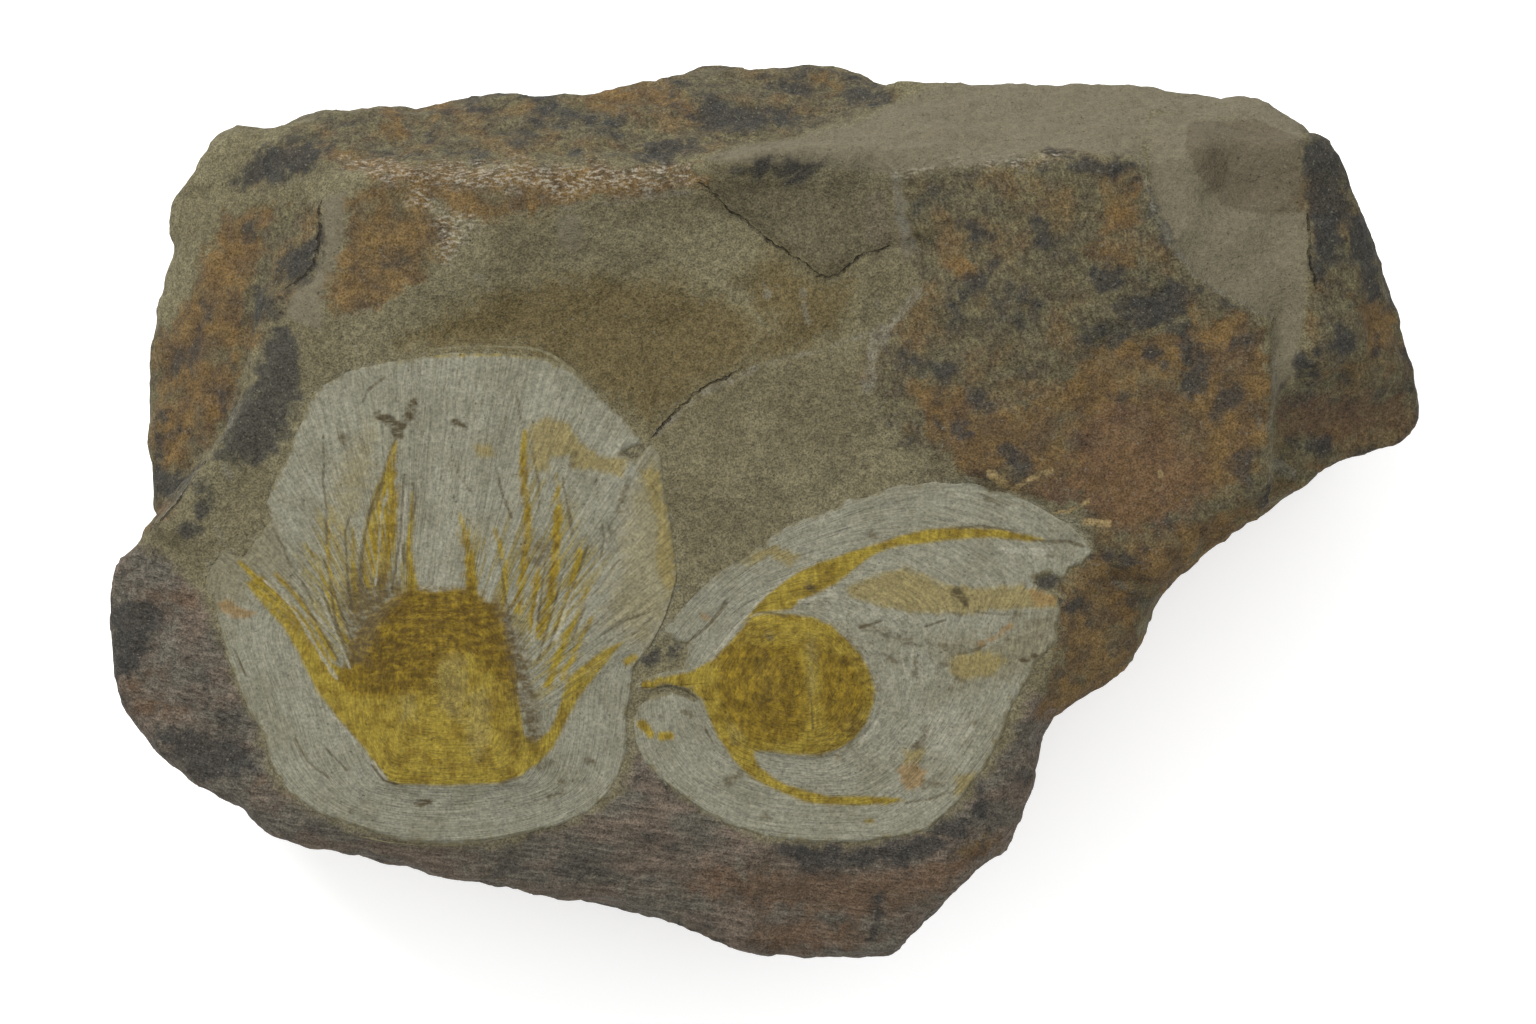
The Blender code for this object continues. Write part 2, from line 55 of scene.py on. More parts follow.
# Markings are placed in tenths of a millimetre on the bedding face, to the right of and
# down from the corner of the view, as one sees them from the camera straight above it
TENTH = 0.1
VIEW_CORNER = (-76.25 + CENTRING[0], 51.35 + CENTRING[1])
VIEW_SIZE = (153.6, 102.4)
VIEW_DISTANCE = 750.0
SENSOR = 36.0
VIEW_MIDDLE = (VIEW_CORNER[0] + VIEW_SIZE[0] / 2, VIEW_CORNER[1] - VIEW_SIZE[1] / 2)

# The stone's fine surface: its cells, the plugs in its sockets, from below the face to just
# under it, and the quiet border round the shields. Points nearer than MERGE become one.
MERGE = 0.001
STONE_CELL = 0.61
SOFTEN_STEPS = 2
RIM_POINTS = 96
SOCKET_MARGIN = 0.9
SOCKET_FILL = (2.6, 0.12)
QUIET_WIDTH = 2.5

# The stone's relief: the size and the height of its lumps, pits and grain, and of the thin
# layers that show on its sides. Only its skin, its margins and what lies low are fully rough.
LUMPS = (6.5, 0.30)
PITS = (3.4, 0.18)
PIT_LEVEL = 1.1
GRAIN = (1.7, 0.18)
LAYER_SIZE = (12.0, 1.1)
LAYER_HEIGHT = 0.5
LAYER_DRIFT = (13.0, 1.6)
SPLIT_ROUGHNESS = 0.4
ROUGH_EDGE = (-1.0, 1.5)
UPPER_PART = (-3.0, -1.0)
SMOOTH_GRAIN = 0.3
STEP_WIDTH = 6.0
FACING_UP = 0.2
RESTING_HEIGHT = 1.2

# The shields' meshes: faces round them, and from the middle to the rim and to the core's edge
AROUND = 420
RINGS = 150
CORE_RINGS = 44
RIM_OVERLAP = 0.9
CRUST_DEPTH = 1.1
CRUST_RISE = 0.15
CRUST_SINK = 0.6
SINK_WIDTH = (-0.5, 0.15)
LINE_WIDTH = 0.08
LINE_DEPTH = 0.12
COURSE_RADIUS = 17.0
COURSE_LENGTH = 17.0
STREAK_LENGTH = 9.0

# The shields' relief: heights, and the rings at which they start and end. Rings count from
# 0 in the middle over 1 at the core's edge to 2 at the rim. Wrinkles and bands have their
# number to each station and to each ring.
TAIL_DOME = (0.9, 0.4, 2.0)
TAIL_AXIS = (0.5, 0.8, 1.25)
RIB_START = (0.95, 1.25)
RIB_END = (1.75, 1.98)
RIB_HEIGHT = 0.25
WRINKLES = (7.0, 2.2)
WRINKLE_HEIGHT = 0.12
HEAD_DOME = (0.5, 0.6, 2.0)
GLABELLA = (0.7, 1.05)
BANDS = (0.8, 12.0)
BAND_START = (0.95, 1.2)
BAND_HEIGHT = 0.08
CRUST_GRAIN = (1.1, 0.06)

# Pairs of stations round each shield, clockwise from its lower left, as in the solids: a
# point on the raised core and the point that it faces on the rim
TAIL_STATIONS = [
    ((-37.8, -26.5), (-44.3, -29.9)), ((-39.1, -24.5), (-49.1, -25.2)),
    ((-40.1, -22.2), (-51.7, -17.7)), ((-40.7, -19.2), (-54.1, -11.5)),
    ((-40.7, -16.7), (-54.9, -7.2)), ((-40.5, -14.2), (-52.3, -3.2)),
    ((-40.1, -12.2), (-49.3, 0.9)), ((-39.1, -9.9), (-47.1, 7.6)),
    ((-37.7, -8.5), (-42.8, 13.2)), ((-36.1, -7.6), (-36.7, 14.9)),
    ((-34.6, -7.3), (-32.3, 15.7)), ((-30.2, -7.3), (-26.3, 15.9)),
    ((-28.5, -8.3), (-21.5, 15.2)), ((-26.5, -9.9), (-16.1, 11.0)),
    ((-24.9, -11.9), (-11.8, 7.2)), ((-24.2, -14.2), (-10.1, 2.4)),
    ((-23.8, -16.7), (-9.1, -4.7)), ((-23.5, -19.2), (-10.3, -10.2)),
    ((-23.1, -21.7), (-12.6, -15.2)), ((-22.9, -24.2), (-13.7, -20.7)),
    ((-24.3, -26.7), (-15.3, -27.2)), ((-27.3, -27.1), (-21.1, -30.7)),
    ((-31.3, -27.2), (-29.3, -32.3)), ((-34.8, -27.0), (-38.0, -32.0)),
]
HEAD_STATIONS = [
    ((-5.8, -17.0), (-11.3, -17.4)), ((-5.0, -14.8), (-9.2, -12.4)),
    ((-2.7, -11.6), (-4.4, -7.1)), ((-0.1, -10.0), (0.9, -3.0)),
    ((3.1, -9.8), (8.1, 0.7)), ((5.3, -10.2), (14.5, 2.8)),
    ((7.0, -11.0), (21.3, 3.1)), ((8.6, -12.6), (28.4, 0.4)),
    ((9.6, -14.0), (32.4, -3.5)), ((10.5, -15.6), (29.8, -8.1)),
    ((11.1, -17.4), (29.0, -12.6)), ((11.0, -19.1), (27.2, -17.4)),
    ((10.5, -20.6), (24.2, -22.5)), ((8.8, -22.4), (19.6, -28.5)),
    ((7.0, -23.6), (14.2, -32.0)), ((5.3, -24.1), (8.8, -32.4)),
    ((2.8, -24.0), (2.8, -32.1)), ((0.3, -23.6), (-2.7, -31.0)),
    ((-2.0, -22.6), (-8.0, -28.2)), ((-3.7, -21.0), (-11.2, -24.2)),
    ((-5.0, -19.2), (-12.0, -20.7)),
]

# The tail's fan of ribs: its first and last station, and the ribs
TAIL_FAN = (4, 18)
TAIL_RIBS = 9

# What is left of the pale shell of each shield
TAIL_SHELL = [
    (325, 385), (350, 370), (400, 362), (450, 355), (500, 355), (545, 360), (575, 375), (600, 400),
    (622, 420), (641, 443), (628, 446), (618, 456), (636, 463), (650, 446), (660, 455), (664, 490),
    (670, 525), (675, 560), (678, 585), (670, 605), (660, 635), (642, 655), (632, 670), (630, 695),
    (625, 715), (627, 745), (620, 770), (608, 792), (590, 810), (560, 823), (520, 833), (480, 840),
    (430, 841), (400, 838), (360, 826), (320, 813), (290, 792), (273, 765), (266, 735), (250, 712),
    (238, 680), (228, 655), (222, 628), (215, 602), (206, 585), (206, 566), (222, 552), (244, 560),
    (258, 540), (272, 520), (268, 503), (277, 480), (288, 462), (292, 445), (302, 425), (308, 405),
    (318, 392),
]
HEAD_SHELL = [
    (660, 630), (675, 616), (690, 600), (705, 585), (722, 572), (748, 558), (756, 549), (767, 549),
    (766, 543), (785, 528), (810, 518), (840, 508), (848, 500), (866, 499), (885, 490), (905, 484),
    (912, 487), (935, 481), (955, 484), (966, 476), (976, 478), (988, 491), (1012, 492), (1040, 503),
    (1052, 512), (1075, 519), (1085, 538), (1091, 551), (1082, 562), (1069, 567), (1062, 578),
    (1050, 572), (1034, 576), (1038, 590), (1056, 596), (1059, 612), (1055, 624), (1056, 640),
    (1045, 651), (1034, 662), (1026, 682), (1015, 697), (1008, 712), (1004, 726), (992, 750),
    (984, 768), (972, 780), (960, 798), (944, 814), (928, 828), (900, 836), (860, 840), (810, 841),
    (765, 835), (735, 826), (705, 811), (680, 793), (660, 777), (645, 760), (636, 742), (633, 724),
    (640, 706), (652, 697), (668, 694), (690, 699), (700, 702), (690, 690), (670, 684), (650, 690),
    (636, 688), (640, 680), (656, 676), (686, 669), (690, 655), (689, 643), (672, 638),
]

# Markings of the stone. An area is a closed outline; a stroke is a line with its half-widths
# at its two ends.
STONE_AREAS = {
    "shell": [TAIL_SHELL, HEAD_SHELL],
    "skin": [
        [(250, 165), (275, 140), (300, 118), (330, 112), (500, 85), (700, 50), (860, 60), (896, 98),
         (868, 112), (800, 134), (750, 142), (700, 160), (640, 160), (560, 160), (480, 162),
         (400, 158), (330, 168), (290, 178), (235, 192)],
        [(892, 178), (930, 172), (1000, 164), (1050, 152), (1138, 160), (1150, 190), (1162, 232),
         (1190, 272), (1265, 320), (1272, 400), (1268, 460), (1285, 500), (1190, 580), (1120, 640),
         (1095, 560), (1085, 522), (1085, 505), (1040, 500), (1000, 490), (968, 474), (930, 456),
         (892, 430), (872, 400), (862, 362), (886, 328), (924, 294), (906, 262), (896, 222)],
        [(1298, 150), (1306, 130), (1340, 130), (1430, 300), (1460, 430), (1290, 510), (1272, 470),
         (1282, 400), (1302, 370), (1308, 290), (1304, 210)],
        [(150, 530), (140, 330), (175, 330), (200, 280), (218, 225), (262, 200), (300, 206),
         (322, 205), (322, 250), (290, 300), (262, 335), (245, 360), (238, 400), (205, 455)],
    ],
    "rust": [
        [(225, 214), (270, 204), (272, 215), (256, 245), (246, 275), (240, 310), (235, 345),
         (228, 405), (205, 440), (165, 466), (156, 400), (168, 335), (194, 290), (208, 250)],
        [(350, 200), (372, 184), (395, 180), (412, 192), (435, 205), (455, 225), (452, 250),
         (432, 268), (402, 292), (375, 310), (345, 318), (325, 310), (326, 288), (340, 262),
         (346, 232)],
        [(330, 150), (400, 160), (480, 165), (600, 165), (700, 166), (708, 182), (650, 196),
         (560, 204), (500, 222), (450, 214), (410, 186), (350, 172)],
        [(915, 385), (950, 382), (985, 412), (1050, 400), (1080, 370), (1110, 345), (1180, 335),
         (1230, 312), (1262, 325), (1270, 400), (1262, 470), (1200, 500), (1130, 530), (1100, 520),
         (1060, 470), (1000, 470), (985, 485), (955, 460), (925, 430)],
        [(1100, 178), (1140, 180), (1140, 225), (1105, 230)],
        [(1060, 592), (1072, 570), (1096, 556), (1130, 575), (1140, 640), (1120, 690), (1060, 720),
         (1036, 712), (1048, 690), (1062, 660), (1058, 636)],
        [(1120, 530), (1200, 520), (1260, 510), (1220, 560), (1170, 600), (1130, 590)],
        [(1356, 300), (1390, 304), (1400, 345), (1388, 370), (1366, 352)],
    ],
    "plum": [
        [(60, 560), (140, 545), (165, 560), (200, 592), (214, 620), (226, 660), (240, 700),
         (258, 720), (264, 768), (292, 800), (350, 830), (432, 848), (520, 840), (600, 810),
         (622, 790), (640, 745), (650, 768), (700, 812), (760, 842), (860, 848), (935, 828),
         (975, 790), (1010, 745), (1030, 690), (1060, 700), (1110, 720), (1070, 760), (1040, 900),
         (900, 1000), (600, 960), (300, 900), (60, 760)],
    ],
    "slate": [
        [(262, 345), (280, 322), (300, 340), (303, 388), (290, 425), (275, 448), (258, 464),
         (235, 460), (212, 462), (226, 438), (240, 400), (256, 385)],
        [(322, 228), (318, 256), (312, 276), (296, 286), (284, 282), (280, 264), (292, 250)],
        [(268, 294), (286, 300), (286, 312), (275, 326), (262, 322), (260, 304)],
        [(140, 472), (196, 468), (194, 482), (172, 500), (152, 500)],
        [(110, 600), (150, 600), (162, 612), (152, 650), (136, 672), (112, 676)],
        [(250, 165), (270, 146), (300, 140), (335, 142), (326, 158), (290, 174), (240, 190), (232, 182)],
        [(690, 118), (706, 98), (750, 108), (800, 112), (804, 122), (750, 128), (722, 132), (706, 142)],
        [(640, 148), (690, 140), (704, 152), (660, 160), (636, 158)],
        [(735, 168), (770, 160), (822, 162), (826, 172), (790, 184), (760, 176)],
        [(762, 80), (800, 76), (815, 92), (790, 98), (768, 92)],
        [(850, 84), (880, 88), (890, 100), (860, 102), (845, 96)],
        [(1050, 152), (1100, 160), (1142, 164), (1118, 174), (1072, 172)],
        [(1090, 270), (1108, 260), (1126, 268), (1120, 288), (1096, 292)],
        [(1132, 300), (1180, 276), (1192, 300), (1176, 326), (1140, 326)],
        [(1146, 190), (1156, 198), (1170, 238), (1160, 246), (1150, 222)],
        [(1180, 356), (1196, 346), (1210, 366), (1204, 398), (1188, 402), (1180, 384)],
        [(966, 390), (980, 388), (996, 408), (984, 412), (968, 402)],
        [(936, 420), (968, 424), (970, 434), (948, 438), (936, 430)],
        [(1002, 442), (1018, 446), (1026, 468), (1014, 476), (1002, 466)],
        [(1306, 146), (1320, 138), (1340, 150), (1346, 180), (1345, 230), (1336, 262), (1322, 280),
         (1312, 262), (1309, 214), (1305, 182)],
        [(1348, 215), (1366, 212), (1378, 245), (1388, 292), (1370, 298), (1352, 264)],
        [(1326, 340), (1350, 334), (1350, 348), (1330, 354)],
        [(1290, 440), (1330, 438), (1326, 452), (1296, 454)],
        [(770, 842), (860, 850), (940, 830), (955, 842), (900, 866), (800, 872)],
        [(944, 820), (960, 812), (972, 826), (958, 842), (940, 840)],
        [(970, 790), (982, 788), (998, 822), (992, 828), (974, 812)],
        [(150, 725), (245, 735), (255, 770), (200, 782), (170, 752)],
    ],
    "worn": [
        [(160, 215), (180, 168), (212, 126), (262, 122), (268, 145), (250, 162), (236, 184),
         (300, 178), (262, 200), (218, 222), (200, 280), (175, 330), (150, 405), (140, 330)],
    ],
    "ochre": [
        [(470, 300), (560, 275), (680, 280), (740, 308), (778, 345), (720, 376), (688, 402),
         (650, 432), (612, 398), (570, 366), (520, 352), (440, 348), (400, 345)],
        [(770, 250), (800, 266), (828, 282), (850, 276), (852, 300), (836, 332), (800, 350),
         (760, 360), (770, 320), (746, 300), (740, 280)],
    ],
    "fresh": [
        [(322, 198), (348, 190), (344, 232), (338, 262), (324, 290), (322, 330), (286, 318),
         (292, 290), (314, 280), (322, 240)],
        [(892, 180), (904, 180), (910, 215), (918, 250), (904, 262), (896, 240)],
        [(555, 215), (578, 214), (584, 236), (575, 252), (560, 246)],
        [(1148, 140), (1150, 112), (1300, 122), (1306, 200), (1309, 240), (1306, 290), (1300, 340),
         (1298, 372), (1280, 398), (1274, 404), (1272, 320), (1192, 274), (1164, 232), (1152, 190)],
        [(700, 162), (750, 145), (800, 138), (868, 116), (898, 98), (1000, 70), (1240, 70),
         (1320, 128), (1150, 112), (1140, 158), (1050, 152), (1000, 164), (890, 174), (800, 166)],
    ],
    # Painted shade in the bowl of the scoop and in the hollow at the foot of the block's left side
    "bowl": [
        [(1188, 124), (1250, 118), (1300, 136), (1304, 212), (1260, 214), (1222, 204), (1196, 172),
         (1185, 146)],
        [(866, 196), (884, 190), (890, 240), (884, 250), (866, 240)],
    ],
    # Darker tone of the raised triangle between the cracks, and painted shade in the hollow at the foot
    # of the block's left side
    "dim": [
        [(712, 186), (760, 180), (860, 178), (880, 190), (892, 240), (862, 254), (829, 276),
         (800, 258), (770, 240), (735, 212)],
        [(866, 190), (890, 184), (900, 225), (896, 250), (872, 262)],
    ],
    "fleck": [
        [(340, 158), (440, 164), (560, 166), (690, 166), (700, 180), (640, 190), (540, 194),
         (460, 186), (360, 176)],
        [(410, 184), (440, 200), (480, 222), (450, 262), (436, 262), (440, 232), (412, 200)],
        [(894, 168), (1000, 161), (1060, 153), (1050, 158), (980, 166), (900, 172)],
    ],
    "red": [
        [(1070, 440), (1110, 400), (1180, 420), (1210, 470), (1190, 510), (1120, 530), (1090, 510)],
        [(1014, 496), (1032, 482), (1052, 474), (1085, 471), (1098, 482), (1094, 494), (1080, 500),
         (1064, 506), (1044, 502)],
        [(1280, 412), (1300, 398), (1400, 396), (1410, 424), (1340, 440), (1286, 436)],
        [(150, 500), (172, 500), (168, 514), (152, 526)],
        [(700, 860), (790, 872), (900, 868), (990, 850), (930, 900), (860, 920), (760, 905), (690, 890)],
        [(760, 920), (860, 925), (880, 940), (790, 955), (750, 940)],
    ],
}
STONE_STROKES = {
    "rust": [
        ((9, 7), [(388, 112), (398, 140)]),
        ((6, 4), [(332, 156), (352, 154)]),
        ((10, 9), [(596, 100), (650, 96), (692, 110)]),
        ((6, 6), [(818, 80), (836, 84)]),
        ((8, 4), [(440, 108), (470, 112)]),
        ((7, 5), [(1090, 252), (1126, 262)]),
        ((7, 6), [(948, 258), (972, 272)]),
        ((6, 6), [(1184, 300), (1198, 312)]),
        ((5, 5), [(1300, 460), (1322, 466)]),
        ((8, 3), [(255, 345), (262, 330)]),
        ((7, 5), [(960, 852), (998, 842)]),
        ((8, 8), [(1000, 420), (1060, 450), (1100, 470)]),
    ],
    "red": [
        ((9, 6), [(146, 602), (188, 598)]),
        ((7, 5), [(132, 686), (158, 672)]),
        ((6, 5), [(132, 704), (176, 712)]),
        ((8, 6), [(208, 742), (242, 746)]),
        ((5, 4), [(264, 788), (284, 792)]),
    ],
    "slate": [
        ((8, 6), [(199, 486), (202, 512)]),
        ((8, 7), [(184, 530), (196, 524)]),
        ((9, 6), [(556, 108), (572, 118)]),
        ((6, 6), [(588, 120), (604, 126)]),
        ((7, 4), [(470, 106), (486, 110)]),
        ((6, 5), [(1148, 352), (1166, 362)]),
        ((6, 6), [(1036, 218), (1046, 244)]),
        ((6, 7), [(962, 226), (992, 236)]),
        ((6, 5), [(1014, 286), (1034, 306)]),
        ((7, 6), [(960, 300), (994, 266)]),
        ((5, 4), [(1316, 352), (1314, 374)]),
        ((3, 3), [(1300, 356), (1300, 374)]),
        ((6, 5), [(1238, 340), (1256, 344)]),
        ((6, 5), [(1110, 558), (1130, 562)]),
        ((7, 5), [(1064, 600), (1082, 606)]),
        ((7, 4), [(1036, 586), (1052, 582)]),
        ((3, 3), [(616, 450), (640, 450)]),
        ((5, 3), [(646, 664), (684, 650)]),
        ((6, 3), [(880, 900), (872, 940)]),
    ],
    # Pale wear and flecks, and painted highlight along the step edges and the edges of the scar, the
    # channel and the block that face the light
    "worn": [
        ((2, 2), [(243, 396), (239, 408), (228, 430), (208, 456), (178, 498), (155, 522)]),
        ((2, 2), [(921, 294), (894, 322), (868, 334), (820, 350), (760, 366), (700, 395), (655, 435)]),
        ((3, 2), [(1142, 158), (1152, 205), (1174, 248), (1196, 276), (1268, 318)]),
        ((2, 2), [(1272, 330), (1276, 395), (1270, 430)]),
        ((2, 1), [(1252, 404), (1262, 430)]),
        ((6, 4), [(1276, 464), (1292, 474)]),
        ((4, 4), [(224, 466), (230, 478)]),
        ((3, 3), [(802, 288), (808, 322)]),
        ((3, 3), [(764, 282), (766, 294)]),
        ((2, 2), [(876, 298), (880, 308)]),
        ((3, 2), [(476, 276), (492, 290)]),
        ((5, 6), [(896, 180), (902, 214), (910, 250)]),
        ((5, 5), [(918, 292), (892, 322), (874, 350), (868, 392)]),
        ((2, 2), [(560, 208), (620, 201), (690, 192)]),
        ((3, 2), [(160, 724), (166, 730)]),
        ((3, 3), [(1106, 576), (1122, 586)]),
        ((5, 4), [(738, 862), (744, 876)]),
        ((3, 1), [(216, 528), (228, 548), (250, 574)]),
        ((4, 3), [(258, 536), (266, 550)]),
    ],
    "crack": [
        ((2, 1), [(701, 184), (716, 196), (728, 211), (742, 219), (752, 228), (770, 242)]),
        ((1, 2), [(770, 242), (788, 253), (806, 265), (822, 277), (831, 279)]),
        ((1, 0), [(831, 279), (845, 268), (862, 254), (886, 247)]),
        ((2, 0), [(656, 434), (672, 414), (700, 390), (740, 370)]),
        ((1, 0), [(322, 205), (318, 240), (312, 268), (290, 288)]),
        ((1, 0), [(1307, 214), (1310, 240), (1309, 262), (1317, 286)]),
        ((1, 0), [(205, 463), (176, 505), (153, 530)]),
    ],
    "cream": [
        ((2, 3), [(1012, 492), (1024, 482), (1036, 476), (1052, 471)]),
        ((2, 2), [(1054, 513), (1068, 511), (1080, 506), (1090, 500)]),
        ((4, 3), [(1086, 522), (1110, 524)]),
        ((6, 4), [(992, 474), (1004, 484)]),
        ((1, 1), [(1012, 493), (1032, 499), (1052, 508)]),
        ((3, 2), [(1160, 474), (1162, 482)]),
        ((2, 2), [(1178, 470), (1180, 480)]),
    ],
}

# Steps in the surface: how far, in millimetres, the left side of the line stands over the
# right side as one follows it, how far the step reaches to both sides, in tenths, and the line
STEPS = [
    (0.9, 40.0, [(703, 184), (728, 211), (744, 218), (770, 242), (788, 253), (822, 277), (829, 279),
                 (843, 267), (862, 253), (887, 246)]),
    (0.8, 30.0, [(921, 294), (894, 322), (868, 334), (820, 350), (760, 366), (700, 395), (655, 435)]),
    (0.8, 14.0, [(335, 194), (323, 233), (319, 268), (312, 282), (287, 289)]),
    (0.9, 20.0, [(300, 200), (285, 240), (262, 290), (250, 340), (240, 400), (205, 460), (155, 522)]),
    (0.9, 20.0, [(1268, 470), (1274, 395), (1270, 321), (1200, 281), (1166, 232), (1142, 158)]),
    (0.7, 20.0, [(1188, 124), (1185, 146), (1196, 172), (1222, 204), (1260, 214), (1304, 212)]),
]

# The grooves of the two deeper cracks: half-width and depth, both in tenths, and the line
CRACKS = [
    (9.0, 4.0, [(703, 184), (728, 211), (736, 217), (744, 218), (755, 226), (770, 242)]),
    (8.0, 3.0, [(788, 253), (806, 265), (822, 277), (829, 279), (843, 267), (862, 253), (887, 246)]),
]

# Markings of the tail shield
TAIL_AREAS = {
    "shell": [TAIL_SHELL],
    "faded": [
        [(190, 540), (262, 515), (274, 520), (284, 545), (296, 575), (300, 592), (262, 574),
         (246, 580), (248, 600), (210, 604), (190, 580)],
        [(640, 462), (655, 440), (668, 470), (682, 560), (680, 600), (664, 570), (662, 520), (650, 490)],
    ],
    "wash": [
        [(300, 560), (324, 500), (360, 540), (400, 520), (415, 592), (395, 602), (360, 640),
         (345, 670), (322, 640)],
        [(460, 520), (498, 540), (530, 480), (560, 480), (585, 540), (606, 560), (590, 610),
         (566, 680), (545, 716), (520, 660), (500, 615), (474, 598)],
    ],
    "beige": [
        [(604, 620), (622, 560), (626, 500), (644, 470), (666, 465), (684, 560), (676, 610),
         (646, 646)],
        [(330, 620), (322, 560), (340, 470), (376, 420), (372, 470), (352, 520), (352, 600)],
    ],
    "yellow": [
        [(345, 668), (362, 662), (372, 640), (385, 615), (400, 598), (412, 588), (426, 593),
         (446, 592), (461, 588), (474, 596), (490, 606), (500, 620), (508, 645), (515, 672),
         (519, 700), (524, 735), (535, 742), (548, 732), (556, 716), (562, 698), (566, 682),
         (574, 674), (590, 660), (604, 649), (622, 642), (612, 655), (592, 680), (577, 700),
         (566, 722), (555, 745), (540, 762), (520, 776), (500, 783), (450, 786), (400, 784),
         (388, 781), (375, 766), (366, 750), (350, 733), (335, 715), (322, 698), (308, 673),
         (296, 648), (284, 628), (268, 610), (252, 592), (246, 582), (262, 576), (276, 590),
         (290, 600), (303, 616), (318, 640), (332, 664)],
        [(397, 440), (396, 460), (394, 480), (397, 509), (395, 542), (390, 558), (387, 580),
         (376, 590), (362, 588), (361, 559), (363, 532), (368, 512), (374, 493), (382, 478),
         (386, 462), (391, 446)],
    ],
    "brown": [
        [(352, 650), (360, 610), (380, 596), (404, 588), (425, 590), (478, 596), (500, 606),
         (514, 640), (522, 680), (522, 740), (536, 740), (516, 752), (506, 700), (494, 664),
         (470, 650), (446, 634), (432, 650), (436, 690), (390, 694), (356, 676)],
        [(400, 594), (480, 600), (482, 618), (440, 622), (400, 618)],
    ],
    "ochre": [
        [(340, 690), (350, 640), (380, 604), (404, 590), (470, 588), (500, 606), (520, 680),
         (500, 680), (470, 652), (440, 660), (424, 690), (380, 700)],
    ],
    "stipple": [
        [(340, 604), (358, 560), (366, 585), (384, 570), (400, 588), (388, 610), (374, 640),
         (362, 664), (352, 650)],
        [(500, 606), (512, 606), (522, 640), (530, 680), (540, 716), (538, 742), (526, 736),
         (519, 700), (512, 665), (503, 634)],
        [(534, 548), (540, 541), (548, 546), (547, 558), (541, 568), (535, 562)],
    ],
    "haze": [
        [(438, 640), (462, 645), (470, 680), (460, 722), (444, 716), (436, 680)],
        [(468, 690), (488, 690), (492, 740), (476, 760), (466, 730)],
        [(398, 695), (412, 690), (416, 718), (402, 722)],
    ],
    "tan": [
        [(530, 425), (548, 415), (566, 424), (582, 442), (600, 456), (630, 458), (622, 478),
         (598, 470), (575, 468), (568, 455), (552, 458), (548, 472), (534, 470), (529, 450)],
        [(640, 470), (660, 470), (668, 520), (676, 560), (672, 600), (656, 570), (658, 520)],
        [(474, 444), (490, 446), (494, 456), (478, 456)],
    ],
    "orange": [
        [(217, 604), (226, 598), (240, 606), (255, 612), (250, 619), (232, 617), (219, 612)],
    ],
}
